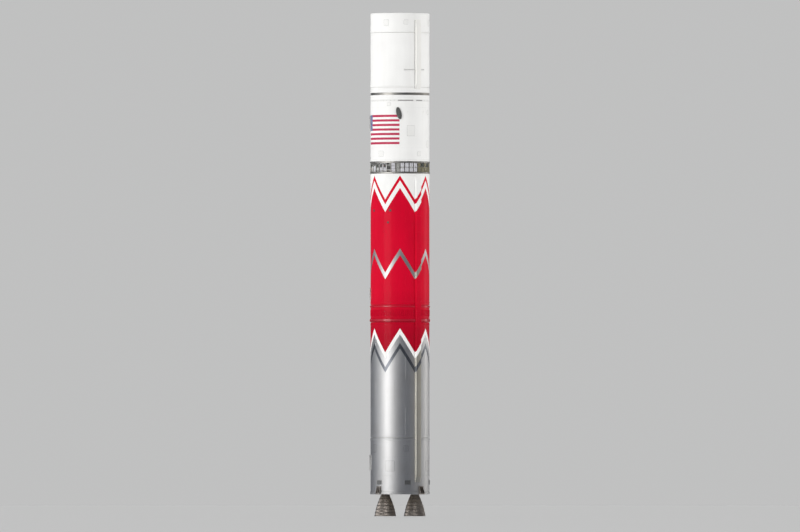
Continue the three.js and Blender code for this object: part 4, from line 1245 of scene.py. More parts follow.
quilt = Soup()
for pts, _, _ in s.polys:
    quilt.add([pillow(p) for p in pts], None, 0)
    quilt.add([(p[0] * S, p[1] * S, 0.08 * S) for p in reversed(pts)], None, 0)
quilt.extend(turned([((SHIELD_R - 0.05) * S, 0.055 * S), ((SHIELD_R - 0.05) * S, 0.004 * S), ((SHIELD_R - 0.044) * S, 0.0), (SHIELD_R * S, 0.0), (SHIELD_R * S, 0.08 * S), ((SHIELD_R - 0.03) * S, 0.08 * S)], seg=144), mat=1)
for i in range(96):
    x, y, _ = on_body(i * 3.75, (SHIELD_R - 0.025) * S, 0)
    quilt.extend(stud(0.007, 0.004), Matrix.Translation((x, y, 0)) @ Matrix.Rotation(math.pi, 4, "X"), 2)
for sx in (-1, 1):
    quilt.extend(turned([((HOLE + 0.07) * S, 0.055 * S), ((HOLE + 0.07) * S, 0.004 * S), ((HOLE + 0.062) * S, 0.0), ((HOLE + 0.006) * S, 0.0), (HOLE * S, 0.006 * S), (HOLE * S, 0.08 * S), ((HOLE + 0.04) * S, 0.08 * S)][::-1], seg=96, centre=(sx * OFF * S, 0)), mat=1)
    for i in range(40):
        a_ = math.radians(9 * i)
        quilt.extend(stud(0.007, 0.004), Matrix.Translation((sx * OFF * S + (HOLE + 0.036) * S * math.cos(a_), (HOLE + 0.036) * S * math.sin(a_), 0)) @ Matrix.Rotation(math.pi, 4, "X"), 2)
quilt.build("base_heat_shield_quilt", [BLANKET, PALE_METAL, FASTENER], "booster", "heat_shield_blanket", ["base_heat_shield"])

ENGINES = {
    "booster": dict(off=1.35, z=2.4, exitZ=-4.4, exitR=0.95, throatZ=-2.1, throatR=0.18, chamberR=0.27, chamberTop=-1.45, wall=0.035, top=-0.36, bottom=-1.15, bx=0.9, by=0.76, k=1.0),
    "upper": dict(off=1.0, z=35.0, exitZ=-2.25, exitR=0.76, throatZ=-0.78, throatR=0.08, chamberR=0.14, chamberTop=-0.5, wall=0.024, top=-0.17, bottom=-0.4, bx=0.56, by=0.44, k=0.5),
}


def boot(side, sx):
    """A pleated cloth cup about the gimbal's centre, with its clamp rings."""
    e = ENGINES["booster"]
    c = (sx * e["off"] * S, 0.0, e["z"] * S)
    rim, hole = math.radians(24.5), math.asin(0.37 / 2.4)
    s = Soup()
    rows, seg = 30, 240

    def at(i, j, r):
        t = hole + (rim - hole) * i / rows
        q = 2 * math.pi * j / seg
        rr = r * S
        return (c[0] + rr * math.sin(t) * math.cos(q), c[1] + rr * math.sin(t) * math.sin(q), c[2] - rr * math.cos(t))

    def radius(i, j):
        pleat = 0.010 * (0.5 - 0.5 * math.cos(2 * math.pi * j / 8)) * min(1, i / 2, (rows - i) / 2)
        stitch = 0.008 * (0.5 + 0.5 * math.cos(2 * math.pi * i / 6)) ** 4
        return 2.398 - pleat - stitch

    for i in range(rows):
        for j in range(seg):
            j2 = j + 1
            s.add([at(i, j2, radius(i, j2)), at(i + 1, j2, radius(i + 1, j2)), at(i + 1, j, radius(i + 1, j)), at(i, j, radius(i, j))], None, 0)
            if i % 3 == 0 and j % 4 == 0:
                s.add([at(i + 3, j, 2.355), at(i + 3, j + 4, 2.355), at(i, j + 4, 2.355), at(i, j, 2.355)], None, 0)
    for t, w_ in ((hole, 0.03), (rim, 0.02)):
        ro, ri = 2.4 * S, 2.352 * S
        prof = [(ri * math.sin(t - 0.001), -ri * math.cos(t)), (ro * math.sin(t), -ro * math.cos(t) - 0.002), (ro * math.sin(t + w_ / 2.4), -ro * math.cos(t + w_ / 2.4) - 0.002), (ri * math.sin(t + w_ / 2.4), -ri * math.cos(t + w_ / 2.4))]
        if t == rim:
            prof = [(x, z_ + 0.004) for x, z_ in prof]
        band = turned(prof + [prof[0]], seg=96)
        s.extend(band, Matrix.Translation(c), 1)
    s.build(f"{side}_booster_boot_cloth", [BOOT_CLOTH, PALE_METAL], f"{side}_booster_engine", "heat_shield_blanket", [f"{side}_booster_engine_boot"])


for side, sx in (("left", -1), ("right", 1)):
    boot(side, sx)

# ------------------------------------------------------------------ engines
def bell_r(e, z):
    t = (z - e["throatZ"]) / (e["exitZ"] - e["throatZ"])
    return e["throatR"] + (e["exitR"] - e["throatR"]) * (1.55 * t - 0.55 * t * t)


def nozzle(kind, side, sx):
    e = ENGINES[kind]
    c = Matrix.Translation((sx * e["off"] * S, 0, e["z"] * S))
    zx, zt, wall = e["exitZ"], e["throatZ"], e["wall"]
    s = Soup()
    tubes = 120 if kind == "booster" else 90
    seg = tubes * 4
    tail = 0.035 if kind == "booster" else 0.0
    lo = zx + tail
    # how far down the cooled wall reaches; below it is a smooth extension
    split = lo if kind == "booster" else zt + (zx - zt) * 0.3
    n = 26 if kind == "booster" else 10
    zs = [zt + (split - zt) * i / n for i in range(n + 1)]

    def ribbed(depth):
        return lambda az, r, z: r + depth * r / (e["exitR"] * S) * math.cos(math.radians(az) * tubes)

    d = 0.0032 if kind == "booster" else 0.002
    s.extend(turned([((bell_r(e, z) + wall - 0.006) * S, z * S) for z in zs[::-1]], seg=seg, wobble=ribbed(d)), c, 0)
    s.extend(turned([((bell_r(e, z) + 0.003) * S, z * S) for z in zs], seg=seg, wobble=ribbed(d * 0.6)), c, 1)
    if kind == "upper":
        m_ = 16
        ext = [split + (zx - split) * i / m_ for i in range(m_ + 1)]
        s.extend(turned([((bell_r(e, z) + wall * 0.8) * S, z * S) for z in ext[::-1]], seg=144), c, 3)
        s.extend(turned([((bell_r(e, z)) * S, z * S) for z in ext], seg=144), c, 3)
        r_ = bell_r(e, zx)
        s.extend(turned([((r_) * S, zx * S), ((r_ + wall * 0.8) * S, zx * S)], seg=144), c, 3)
        r_ = bell_r(e, split) + wall
        s.extend(turned([((r_ - 0.02) * S, (split - 0.03) * S), ((r_ + 0.03) * S, (split - 0.03) * S), ((r_ + 0.03) * S, (split + 0.03) * S), ((r_ - 0.02) * S, (split + 0.03) * S)], seg=96), c, 2)
        for i in range(36):
            a_ = math.radians(10 * i)
            s.extend(stud(0.005, 0.005), c @ Matrix.Translation(((r_ + 0.015) * S * math.cos(a_), (r_ + 0.015) * S * math.sin(a_), (split - 0.03) * S)) @ Matrix.Rotation(math.pi, 4, "X"), 4)
        hats = (0.62, 0.86)
    else:
        r_ = e["exitR"] + wall * 0.4
        pr, pz, q = r_ * S, (zx + 0.036) * S, 0.036 * S
        s.extend(turned([(pr + q * math.cos(k * math.pi / 8), pz + q * math.sin(k * math.pi / 8)) for k in range(17)], seg=144), c, 2)
        hats = (0.16, 0.3, 0.44, 0.58, 0.72, 0.86)
    for t in hats:
        z = zt + (zx - zt) * t
        w_ = 0.045 if kind == "booster" else 0.03
        up, dn = bell_r(e, z + w_) + wall - 0.012, bell_r(e, z - w_) + wall - 0.012
        p = 0.04 if kind == "booster" else 0.022
        s.extend(turned([(dn * S, (z - w_) * S), ((dn + p) * S, (z - w_ * 0.55) * S), ((up + p) * S, (z + w_ * 0.55) * S), (up * S, (z + w_) * S)], seg=144), c, 2 if kind == "booster" else 3)
    # chamber with its flanges above the throat
    cr, neck = e["chamberR"] + 2 * wall, e["throatR"] + wall
    zc = zt + (e["chamberTop"] - zt) * 0.4
    cap = e["bottom"] - 0.01
    k = e["k"]
    prof = [(neck - 0.006, zt), (neck, zt + 0.04 * k), (neck + (cr - neck) * 0.25, zt + (zc - zt) * 0.35), (cr - 0.02 * k, zc), (cr, zc + 0.03 * k), (cr, zc + 0.07 * k), (cr - 0.03 * k, zc + 0.09 * k), (cr - 0.03 * k, cap - 0.13 * k), (cr, cap - 0.11 * k), (cr, cap - 0.03 * k), (cr - 0.02 * k, cap), (0, cap)]
    s.extend(turned([(r_ * S, z * S) for r_, z in prof], seg=96), c, 2)
    for i in range(28):
        a_ = math.radians(360 / 28 * i)
        s.extend(stud(0.010 * k, 0.010 * k), c @ Matrix.Translation(((cr - 0.015 * k) * S * math.cos(a_), (cr - 0.015 * k) * S * math.sin(a_), (cap - 0.11 * k) * S)) @ Matrix.Rotation(math.pi, 4, "X"), 4)
    # dark inside of the throat and chamber
    prof = [(0, e["chamberTop"]), (e["chamberR"], e["chamberTop"]), (e["chamberR"], zc), (e["throatR"] + 0.05 * k, zt + 0.1 * k), (e["throatR"] + 0.003, zt)]
    s.extend(turned([(r_ * S, z * S) for r_, z in prof], seg=72), c, 5)
    slot = "engine_metal" if kind == "booster" else "nozzle_carbon"
    s.build(f"{side}_{kind}_nozzle_bell", [COPPER, COPPER_IN, ENGINE, CARBON, FASTENER, SOOT], f"{side}_{kind}_engine", slot, [f"{side}_{kind}_engine_nozzle"])


def ear(r_out, length, bore, t):
    """A lug with a round end about a bore in the origin, down to y = -length; its plate stands along Z."""
    s = Soup()
    n = 32
    ring_, edge = [], []
    for i in range(n):
        c, q = math.cos(2 * math.pi * i / n), math.sin(2 * math.pi * i / n)
        k = r_out if q >= 0 else r_out / max(abs(c), abs(q))
        ring_.append((bore * c, bore * q))
        edge.append((k * c, k * q))
    foot = [(-r_out, -r_out), (-r_out, -length), (r_out, -length), (r_out, -r_out)]
    for z, flip in ((t / 2, False), (-t / 2, True)):
        faces = [[ring_[i], edge[i], edge[(i + 1) % n], ring_[(i + 1) % n]] for i in range(n)] + [foot]
        for f in faces:
            q = [(x, y, z) for x, y in f]
            s.add(q[::-1] if flip else q)
    outline = edge[: n * 5 // 8 + 1] + foot[1:3] + edge[n * 7 // 8:]
    for pts, flip in ((outline, False), (ring_, True)):
        for i in range(len(pts)):
            (x0, y0), (x1, y1) = pts[i], pts[(i + 1) % len(pts)]
            q = [(x0, y0, -t / 2), (x1, y1, -t / 2), (x1, y1, t / 2), (x0, y0, t / 2)]
            s.add(q[::-1] if flip else q)
    return s


def powerhead(kind, side, sx):
    e = ENGINES[kind]
    k = e["k"]
    c = Matrix.Translation((sx * e["off"] * S, 0, e["z"] * S))
    top, bottom, bx, by = e["top"], e["bottom"], e["bx"] / 2, e["by"] / 2
    tall = top - bottom
    s = Soup()
    T = Matrix.Translation
    # lugs for the gimbal's pins, on a ribbed pad
    for sy in (-1, 1):
        lug = ear(0.12 * k * S, -top * S, 0.068 * k * S, 0.10 * k * S)
        turn_ = Matrix(((1, 0, 0, 0), (0, 0, 1, 0), (0, 1, 0, 0), (0, 0, 0, 1)))
        s.extend(lug, c @ T((0, sy * 0.21 * k * S, 0)) @ turn_, 0)
    s.extend(block(-0.26 * k * S, 0.26 * k * S, -0.30 * k * S, 0.30 * k * S, (top - 0.07 * k) * S, top * S, 0.01 * k), c, 0)
    # injector dome on the chamber
    r = min(bx, by) * 0.92
    prof = [(0.0, bottom + 0.001), (r, bottom + 0.001), (r, bottom + 0.07 * k), (r * 0.93, bottom + 0.08 * k), (r * 0.93, bottom + tall * 0.28), (r, bottom + tall * 0.3), (r, bottom + tall * 0.36), (r * 0.8, bottom + tall * 0.5), (r * 0.52, bottom + tall * 0.66), (r * 0.36, bottom + tall * 0.8), (r * 0.42, top - 0.06 * k), (0, top - 0.06 * k)]
    s.extend(turned([(a_ * S, z_ * S) for a_, z_ in prof], seg=64), c, 1)
    for i in range(24):
        q = math.radians(15 * i)
        s.extend(stud(0.009 * k, 0.012 * k), c @ T((r * 0.965 * S * math.cos(q), r * 0.965 * S * math.sin(q), (bottom + tall * 0.36) * S)), 2)
    # two pumps, one on each side
    for sgn in (-1, 1):
        pr = bx * 0.24
        px = sgn * (bx - pr * 1.08)
        body_ = [(0, bottom + 0.01), (pr * 0.7, bottom + 0.01), (pr * 0.75, bottom + tall * 0.1), (pr, bottom + tall * 0.16), (pr * 1.05, bottom + tall * 0.24), (pr, bottom + tall * 0.32), (pr * 0.72, bottom + tall * 0.36), (pr * 0.72, bottom + tall * 0.44), (pr * 0.95, bottom + tall * 0.46), (pr * 0.95, bottom + tall * 0.5), (pr * 0.7, bottom + tall * 0.52), (pr * 0.66, bottom + tall * 0.74), (pr * 0.88, bottom + tall * 0.76), (pr * 0.88, bottom + tall * 0.82), (pr * 0.5, bottom + tall * 0.84), (pr * 0.5, top - 0.02 * k), (0, top - 0.02 * k)]
        s.extend(turned([(a_ * S, z_ * S) for a_, z_ in body_], seg=40), c @ T((px * S, 0, 0)), 0)
        s.extend(tube([(px * S, 0, (bottom + tall * 0.24) * S), (px * 0.9 * S, sgn * by * 0.45 * S, (bottom + tall * 0.24) * S), (px * 0.6 * S, sgn * by * 0.78 * S, (bottom + tall * 0.22) * S), (px * 0.25 * S, sgn * by * 0.82 * S, (bottom + tall * 0.18) * S), (0, sgn * by * 0.7 * S, (bottom + tall * 0.16) * S)], 0.045 * k * S * 1.2, 14), c, 1)
        s.extend(tube([(px * S, 0, (top - 0.02 * k) * S), (px * 0.92 * S, -sgn * by * 0.3 * S, (top - 0.05 * k) * S), (px * 0.7 * S, -sgn * by * 0.62 * S, (top - 0.12 * k) * S), (px * 0.55 * S, -sgn * by * 0.8 * S, (top - 0.24 * k) * S), (px * 0.5 * S, -sgn * by * 0.84 * S, (bottom + tall * 0.3) * S)], 0.04 * k * S, 14), c, 0)
    # gas generator behind, controller in front
    s.extend(turned([(a_ * S, z_ * S) for a_, z_ in [(0, bottom + tall * 0.4), (0.08 * k, bottom + tall * 0.42), (0.1 * k, bottom + tall * 0.5), (0.1 * k, bottom + tall * 0.8), (0.05 * k, bottom + tall * 0.9), (0, bottom + tall * 0.9)]], seg=32), c @ T((0, (by - 0.11 * k) * S, 0)), 1)
    s.extend(block(-0.16 * k * S, 0.16 * k * S, (bottom + tall * 0.42) * S, (bottom + tall * 0.86) * S, 0, 0.13 * k * S, 0.006 * k), c @ T((0, -(by - 0.135 * k) * S, 0)) @ Matrix(((1, 0, 0, 0), (0, 0, -1, 0), (0, 1, 0, 0), (0, 0, 0, 1))), 3)
    for i in range(3):
        s.extend(tube([((-0.09 + 0.09 * i) * k * S, -(by - 0.02 * k) * S, (bottom + tall * 0.44) * S), ((-0.09 + 0.09 * i) * k * S, -(by - 0.03 * k) * S, (bottom + tall * 0.25) * S), ((-0.12 + 0.12 * i) * k * S, -(by - 0.1 * k) * S, (bottom + tall * 0.12) * S)], 0.012 * k * S * 1.4, 10), c, 4)
    s.build(f"{side}_{kind}_powerhead_detail", [ENGINE, COPPER, FASTENER, BOX_GREY, CABLE], f"{side}_{kind}_engine", "engine_metal", [f"{side}_{kind}_engine_powerhead"])


COPPER_IN = metal("nozzle_inside", (0.44, 0.39, 0.35), rough=0.5, brushed=(60, 60, 0.6), stain=(0.45, 0.36, 0.30), stain_amount=0.5, metallic=0.55)
for kind in ("booster", "upper"):
    for side, sx in (("left", -1), ("right", 1)):
        nozzle(kind, side, sx)
        powerhead(kind, side, sx)

def gimbal_cross(kind, side, sx):
    """Spider of the universal joint: a block with four journals, each with a collar, a nut and a grease cap."""
    e = ENGINES[kind]
    k = e["k"]
    half, r, end = 0.118 * k * S, 0.059 * k * S, 0.278 * k * S
    s = Soup()
    s.extend(block(-half, half, -half, half, 0.0, half * 0.78, 0.012 * k), None, 0)
    s.extend(block(-half, half, -half, half, 0.0, half * 0.78, 0.012 * k), Matrix.Rotation(math.pi, 4, "X"), 0)
    for i in range(4):
        m_ = Matrix.Rotation(math.pi / 2 * i, 4, "Z") @ Matrix.Rotation(math.pi / 2, 4, "Y")
        s.extend(turned([(r * 1.35, half * 0.9), (r * 1.35, half * 1.1), (r * 1.2, half * 1.18), (r, half * 1.2), (r, end * 0.955), (r * 0.9, end * 0.975), (0, end * 0.975)], seg=32), m_, 1)
        s.extend(disc(r * 0.55, end * 0.97, end, 0.002 * k, 6), m_, 2)
    for i in range(4):
        q = math.pi / 4 + math.pi / 2 * i
        for z_, flip in ((half * 0.78, 0), (-half * 0.78, math.pi)):
            s.extend(stud(0.010 * k, 0.008 * k), Matrix.Translation((half * 0.95 * math.cos(q), half * 0.95 * math.sin(q), z_)) @ Matrix.Rotation(flip, 4, "X"), 2)
    out_ = Soup()
    out_.extend(s, Matrix.Translation((sx * e["off"] * S, 0, e["z"] * S)))
    out_.build(f"{side}_{kind}_gimbal_spider", [ENGINE, PALE_METAL, FASTENER], f"{side}_{kind}_gimbal", "engine_metal", [f"{side}_{kind}_gimbal_cross"])


for kind in ("booster", "upper"):
    for side, sx in (("left", -1), ("right", 1)):
        gimbal_cross(kind, side, sx)


# ------------------------------------------------------------------ equipment shelf
s = Soup()
SH0, SH1 = 43.3, 43.35
prof = [(1.98, SH0), (2.615, SH0), (2.615, SH1), (1.98, SH1), (1.98, SH0)]
s.extend(turned([(a_ * S, z_ * S) for a_, z_ in prof], seg=144), mat=0)
s.extend(turned([(a_ * S, z_ * S) for a_, z_ in [(1.97, SH0 - 0.03), (2.0, SH0 - 0.03), (2.0, SH1 + 0.02), (1.97, SH1 + 0.02), (1.97, SH0 - 0.03)]], seg=144), mat=0)
for i in range(24):
    s.extend(block(-0.008, 0.008, -0.30 * S, 0.30 * S, 0, 0.012, 0.003), Matrix.Translation(on_body(i * 15 + 4, 2.3 * S, SH1 * S)) @ Matrix.Rotation(math.radians(i * 15 + 4), 4, "Z"), 0)
BOXES = [(20, 0.7, 0.34), (75, 0.5, 0.4), (118, 0.85, 0.3), (165, 0.5, 0.44), (210, 0.7, 0.34), (258, 0.9, 0.28), (312, 0.55, 0.42)]
for n_, (az, w, h) in enumerate(BOXES):
    m_ = Matrix.Translation(on_body(az, 2.2 * S, SH1 * S)) @ Matrix.Rotation(math.radians(az), 4, "Z")
    wx, wy, hh = w * S / 2, 0.18 * S, h * S
    mat = (1, 2, 3)[n_ % 3]
    s.extend(block(-wx - 0.012, wx + 0.012, -wy, wy, 0, 0.008, 0.002), m_, 4)
    s.extend(block(-wx, wx, -wy, wy, 0.008, hh - 0.01, 0.004), m_, mat)
    s.extend(block(-wx * 0.96, wx * 0.96, -wy * 0.94, wy * 0.94, hh - 0.012, hh, 0.004), m_, mat)
    if mat == 1:
        for k in range(9):
            x = -wx * 0.85 + wx * 1.7 * k / 8
            s.extend(block(x - 0.003, x + 0.003, -wy * 0.85, wy * 0.85, hh - 0.001, hh + 0.010, 0.001), m_, mat)
    for k in range(4):
        x = -wx * 0.72 + wx * 1.44 * k / 3
        q = m_ @ Matrix.Translation((x, -wy, hh * 0.55)) @ Matrix.Rotation(math.pi / 2, 4, "X")
        s.extend(disc(0.011, 0, 0.018, 0.003, 14), q, 4)
        pts = [tuple(q @ Vector(v)) for v in ((0, 0, 0.016), (0.002, -0.004, 0.035), (0.004, -hh * 0.25, 0.048), (0.006, -hh * 0.5, 0.05))]
        s.extend(tube(pts, 0.006, 8), mat=5)
    for sxx in (-1, 1):
        for syy in (-1, 1):
            s.extend(stud(0.005, 0.004), m_ @ Matrix.Translation((sxx * wx * 0.88, syy * wy * 0.8, hh)), 4)
for rr, zz in ((2.02, 0.03), (2.045, 0.03), (2.03, 0.055)):
    s.extend(tube([on_body(q * 5, rr * S - 0.005, (SH1 + zz) * S) for q in range(72)], 0.007, 8, closed=True), mat=5)
s.build("equipment_shelf_avionics", [PRIMER, BOX_GREY, BOX_GOLD, HARD_PALE, FASTENER, CABLE], "upper_stage", "primer", ["equipment_shelf"])

# ------------------------------------------------------------------ bottles and lines round the upper engines
s = Soup()
for az in (0, 180):
    for dx in (-0.36, 0.36):
        x, y, z = dx * S, (-1.5 if az == 0 else 1.5) * S, 35.28 * S
        r_ = 0.27 * S
        prof = [(r_ * math.sin(math.pi * i / 20), -r_ * math.cos(math.pi * i / 20)) for i in range(21)]
        prof[0], prof[-1] = (0, prof[0][1]), (0, prof[-1][1])
        s.extend(turned(prof, seg=40), Matrix.Translation((x, y, z)), 0)
        s.extend(turned([(r_ + 0.001, -0.012), (r_ + 0.006, -0.010), (r_ + 0.006, 0.010), (r_ + 0.001, 0.012)], seg=40), Matrix.Translation((x, y, z)), 1)
        s.extend(disc(0.02, r_ - 0.005, r_ + 0.03, 0.003, 16), Matrix.Translation((x, y, z)), 1)
        for q in (-1, 1):
            tx, ty = x + q * r_ * 0.6, y * 0.96
            tz = Z["stage_ring"] * S - 1.9 * S * math.sqrt(1 - (math.hypot(tx, ty) / (DOME_R * S)) ** 2)
            s.extend(tube([(x + q * r_ * 0.98, y, z - 0.01), (x + q * r_ * 0.96, y * 0.99, z + 0.10), (x + q * r_ * 0.8, y * 0.97, z + 0.19), (tx, ty, tz + 0.004)], 0.009, 10), mat=1)
            s.extend(disc(0.026, -0.012, 0.006, 0.003, 20), Matrix.Translation((tx, ty, tz)), 1)
            s.extend(disc(0.018, -0.016, 0.016, 0.003, 16), Matrix.Translation((x + q * r_ * 0.98, y, z)) @ Matrix.Rotation(math.pi / 2, 4, "Y"), 1)
s.build("pressurant_bottles", [metal("titanium_bottle", (0.5, 0.48, 0.46), rough=0.3, brushed=(5, 5, 5)), PALE_METAL], "upper_stage", "engine_metal")

# ------------------------------------------------------------------ beam that carries the upper engines
def dome_z(x, y):
    """Height of the tank's aft dome, real metres."""
    return Z["stage_ring"] - 1.9 * math.sqrt(max(0.0, 1 - (x * x + y * y) / DOME_R ** 2))


s = Soup()
B0, BX, BY = 35.14, 1.3, 0.16
CELLS = [-1.27, -0.86, -0.5, -0.17, 0.17, 0.5, 0.86, 1.27]
web = 0.016
for x0, x1 in zip(CELLS, CELLS[1:]):
    lo, top = B0 + 0.03, lambda x: dome_z(x, BY) - 0.03
    cx = (x0 + x1) / 2
    cz = (lo + top(cx)) / 2
    rh = 0.33 * min(x1 - x0, top(cx) - lo)
    angles = [2 * math.pi * k / 40 for k in range(40)] + [math.atan2(zz - cz, xx - cx) % (2 * math.pi) for xx, zz in ((x0, lo), (x1, lo), (x0, top(x0)), (x1, top(x1)))]
    angles = sorted(set(round(a_, 6) for a_ in angles))
    hole, rim = [], []
    for a_ in angles:
        c_, q_ = math.cos(a_), math.sin(a_)
        k_lo, k_hi = 0.0, 2.0
        for _ in range(40):
            k_ = (k_lo + k_hi) / 2
            xx, zz = cx + k_ * c_, cz + k_ * q_
            if x0 <= xx <= x1 and lo <= zz <= top(min(max(xx, x0), x1)):
                k_lo = k_
            else:
                k_hi = k_
        hole.append((cx + rh * c_, cz + rh * q_))
        rim.append((cx + k_lo * c_, cz + k_lo * q_))
    for i in range(len(angles)):
        j = (i + 1) % len(angles)
        for sy in (-1, 1):
            q = [(hole[i][0] * S, sy * web * S, hole[i][1] * S), (rim[i][0] * S, sy * web * S, rim[i][1] * S), (rim[j][0] * S, sy * web * S, rim[j][1] * S), (hole[j][0] * S, sy * web * S, hole[j][1] * S)]
            s.add(q[::-1] if sy > 0 else q)
            # rolled lip of the hole
            lip = [((cx + (h[0] - cx) * 1.0) * S, sy * web * S, (cz + (h[1] - cz) * 1.0) * S) for h in (hole[i], hole[j])]
            out_ = [((cx + (h[0] - cx) * 0.93) * S, sy * 0.034 * S, (cz + (h[1] - cz) * 0.93) * S) for h in (hole[i], hole[j])]
            q = [lip[0], lip[1], out_[1], out_[0]]
            s.add(q[::-1] if sy > 0 else q)
        q = [(cx + (h[0] - cx) * 0.93, cz + (h[1] - cz) * 0.93) for h in (hole[i], hole[j])]
        s.add([(q[0][0] * S, -0.034 * S, q[0][1] * S), (q[1][0] * S, -0.034 * S, q[1][1] * S), (q[1][0] * S, 0.034 * S, q[1][1] * S), (q[0][0] * S, 0.034 * S, q[0][1] * S)])
for i in range(26):  # the two flanges; the upper one follows the dome
    x0, x1 = -BX + 0.1 * i, -BX + 0.1 * (i + 1)
    for j in range(4):
        y0, y1 = -BY + 0.08 * j, -BY + 0.08 * (j + 1)
        for (f0, f1) in ((lambda x, y: B0, lambda x, y: B0 + 0.035), (lambda x, y: dome_z(x, BY) - 0.035, lambda x, y: dome_z(x, y) - 0.003)):
            p_ = lambda x, y, f: (x * S, y * S, f(x, y) * S)
            s.add([p_(x0, y0, f1), p_(x1, y0, f1), p_(x1, y1, f1), p_(x0, y1, f1)])
            s.add([p_(x0, y1, f0), p_(x1, y1, f0), p_(x1, y0, f0), p_(x0, y0, f0)])
            if j == 0:
                s.add([p_(x0, y0, f0), p_(x1, y0, f0), p_(x1, y0, f1), p_(x0, y0, f1)])
            if j == 3:
                s.add([p_(x1, y1, f0), p_(x0, y1, f0), p_(x0, y1, f1), p_(x1, y1, f1)])
            if i == 0:
                s.add([p_(x0, y1, f0), p_(x0, y0, f0), p_(x0, y0, f1), p_(x0, y1, f1)])
            if i == 25:
                s.add([p_(x1, y0, f0), p_(x1, y1, f0), p_(x1, y1, f1), p_(x1, y0, f1)])
for x in CELLS:  # stiffeners between the flanges
    t = 0.014
    h0, h1 = (B0 + 0.03) * S, (dome_z(x, BY) - 0.03) * S
    for sy in (-1, 1):
        s.extend(block((x - t) * S, (x + t) * S, min(sy * 0.01, sy * (BY - 0.012)) * S, max(sy * 0.01, sy * (BY - 0.012)) * S, h0, h1))
for i in range(25):
    x = -1.2 + 0.1 * i
    for y in (-0.12, 0.12):
        s.extend(stud(0.006, 0.004), Matrix.Translation((x * S, y * S, B0 * S)) @ Matrix.Rotation(math.pi, 4, "X"), 1)
for sx in (-1, 1):  # lugs for the gimbal's outer pins, under a pad
    for q_ in (-1, 1):
        lug = ear(0.06 * S, 0.145 * S, 0.034 * S, 0.05 * S)
        turn_ = Matrix(((0, 0, -1, 0), (1, 0, 0, 0), (0, -1, 0, 0), (0, 0, 0, 1)))
        s.extend(lug, Matrix.Translation(((sx * 1.0 + q_ * 0.105) * S, 0, 35.0 * S)) @ turn_, 0)
    s.extend(block((sx * 1.0 - 0.13) * S, (sx * 1.0 + 0.13) * S, -0.13 * S, 0.13 * S, 35.125 * S, (B0 + 0.002) * S), None, 0)
s.build("upper_engine_beam", [ENGINE, FASTENER], "upper_stage", "engine_metal", ["upper_engine_frame"])

for slot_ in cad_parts["thrust_frame"].material_slots:
    slot_.material = PRIMER

# ------------------------------------------------------------------ floor, light and world
# Soft suns light the paint and the floor evenly, and upright strips show only as reflections in metal and gloss.
SUNS = [  # az, height in degrees, strength, softness in degrees, colour
    ("key", -64, 10, 2.10, 24, (1.0, 0.99, 0.97)),
    ("fill", 66, 10, 1.74, 40, (1.0, 0.985, 0.955)),
    ("back", 180, 12, 1.35, 40, (0.99, 0.995, 1.0)),
]
STRIPS = [  # az, distance, width, height, power, colour
    ("strip_left", -49, 18, 9.0, 40, 2950, (1.0, 0.99, 0.97)),
    ("strip_right", 62, 18, 2.0, 40, 285, (1.0, 0.92, 0.80)),
    ("edge_right", 116, 24, 6.0, 40, 1300, (1.0, 0.97, 0.92)),
    ("shoulder_left", -88, 18, 12.0, 40, 460, (0.97, 0.98, 1.0)),
    ("strip_back", 178, 22, 6.0, 40, 2000, (1.0, 1.0, 1.0)),
]
SKY = (0.50, 0.505, 0.515)
FLOOR_TONE = (0.66, 0.66, 0.655)
sunlit = [sum(s[3] * math.sin(math.radians(s[2])) * s[5][k] for s in SUNS) / math.pi for k in range(3)]
BACKDROP = [f * (k + e) for f, k, e in zip(FLOOR_TONE, SKY, sunlit)]

floor_mesh = bpy.data.meshes.new("studio_floor")
n = 3000
floor_mesh.from_pydata([(-n, -n, FLOOR_Z), (n, -n, FLOOR_Z), (n, n, FLOOR_Z), (-n, n, FLOOR_Z)], [], [(0, 1, 2, 3)])
floor = bpy.data.objects.new("studio_floor", floor_mesh)
scene.collection.objects.link(floor)
m, nt, b = shader("floor_pale")
b.inputs["Base Color"].default_value = (*FLOOR_TONE, 1)
b.inputs["Roughness"].default_value = 1.0
b.inputs["Specular IOR Level"].default_value = 0.0
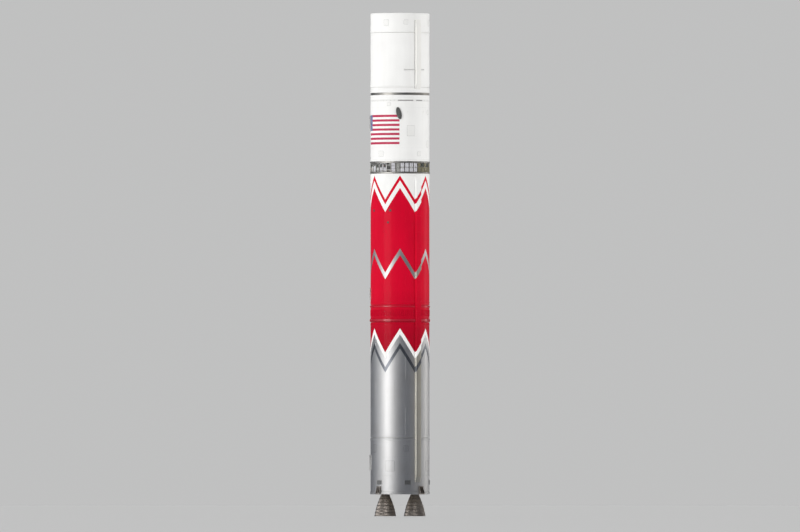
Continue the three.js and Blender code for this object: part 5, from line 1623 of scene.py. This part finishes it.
# painted reflection: as metal and gloss see it, the floor is painted darker, with painted bright sectors in the
# directions of the strips at az -49 and 116, so metal keeps its form from above as well
outward = nt.nodes.new("ShaderNodeVectorMath")
outward.operation = "NORMALIZE"
nt.links.new(coords(nt, (1, 1, 0)), outward.inputs[0])
painted_reflection_tone = (0.235, 0.252, 0.285)
for az in (-49, 116):
    toward = nt.nodes.new("ShaderNodeVectorMath")
    toward.operation = "DOT_PRODUCT"
    nt.links.new(outward.outputs[0], toward.inputs[0])
    toward.inputs[1].default_value = on_body(az, 1, 0)
    near = nt.nodes.new("ShaderNodeMapRange")
    near.interpolation_type = "SMOOTHSTEP"
    nt.links.new(toward.outputs["Value"], near.inputs["Value"])
    near.inputs["From Min"].default_value = math.cos(math.radians(50))
    near.inputs["From Max"].default_value = math.cos(math.radians(10))
    painted_reflection_tone = mix(nt, near.outputs["Result"], painted_reflection_tone, (0.90, 0.90, 0.89))
mirror = nt.nodes.new("ShaderNodeLightPath")
# only glossy rays see the painted reflection tone; the camera sees the plain pale floor
nt.links.new(mix(nt, mirror.outputs["Is Glossy Ray"], FLOOR_TONE, painted_reflection_tone), b.inputs["Base Color"])
floor_mesh.materials.append(m)

world = bpy.data.worlds.new("studio")
scene.world = world
world.use_nodes = True
wn = world.node_tree
path = wn.nodes.new("ShaderNodeLightPath")
sky = wn.nodes["Background"]
sky.inputs["Color"].default_value = (*SKY, 1)
dim = wn.nodes.new("ShaderNodeBackground")
dim.inputs["Color"].default_value = (0.078, 0.083, 0.094, 1)
back = wn.nodes.new("ShaderNodeBackground")
back.inputs["Color"].default_value = (*BACKDROP, 1)
last = sky.outputs[0]
for ray, other in (("Is Glossy Ray", dim), ("Is Camera Ray", back)):
    pick = wn.nodes.new("ShaderNodeMixShader")
    wn.links.new(path.outputs[ray], pick.inputs[0])
    wn.links.new(last, pick.inputs[1])
    wn.links.new(other.outputs[0], pick.inputs[2])
    last = pick.outputs[0]
wn.links.new(last, wn.nodes["World Output"].inputs["Surface"])

for name, az, rise, strength, soft, colour in SUNS:
    d = bpy.data.lights.new(name, "SUN")
    d.energy, d.angle, d.color = strength, math.radians(soft), colour
    ob = bpy.data.objects.new(name, d)
    scene.collection.objects.link(ob)
    ob.location = on_body(az, 40, 30)
    ob.rotation_euler = (-Vector(on_body(az, math.cos(math.radians(rise)), math.sin(math.radians(rise))))).to_track_quat("-Z", "Y").to_euler()
    ob.visible_glossy = False
for name, az, distance, width, height, power, colour in STRIPS:
    d = bpy.data.lights.new(name, "AREA")
    d.shape = "RECTANGLE"
    d.size, d.size_y = width, height
    d.energy, d.color = power, colour
    ob = bpy.data.objects.new(name, d)
    scene.collection.objects.link(ob)
    ob.location = on_body(az, distance, 11)
    ob.rotation_euler = (Vector((0, 0, 11)) - ob.location).to_track_quat("-Z", "Y").to_euler()
    ob.visible_camera = ob.visible_diffuse = False
scene.view_settings.view_transform = "Standard"
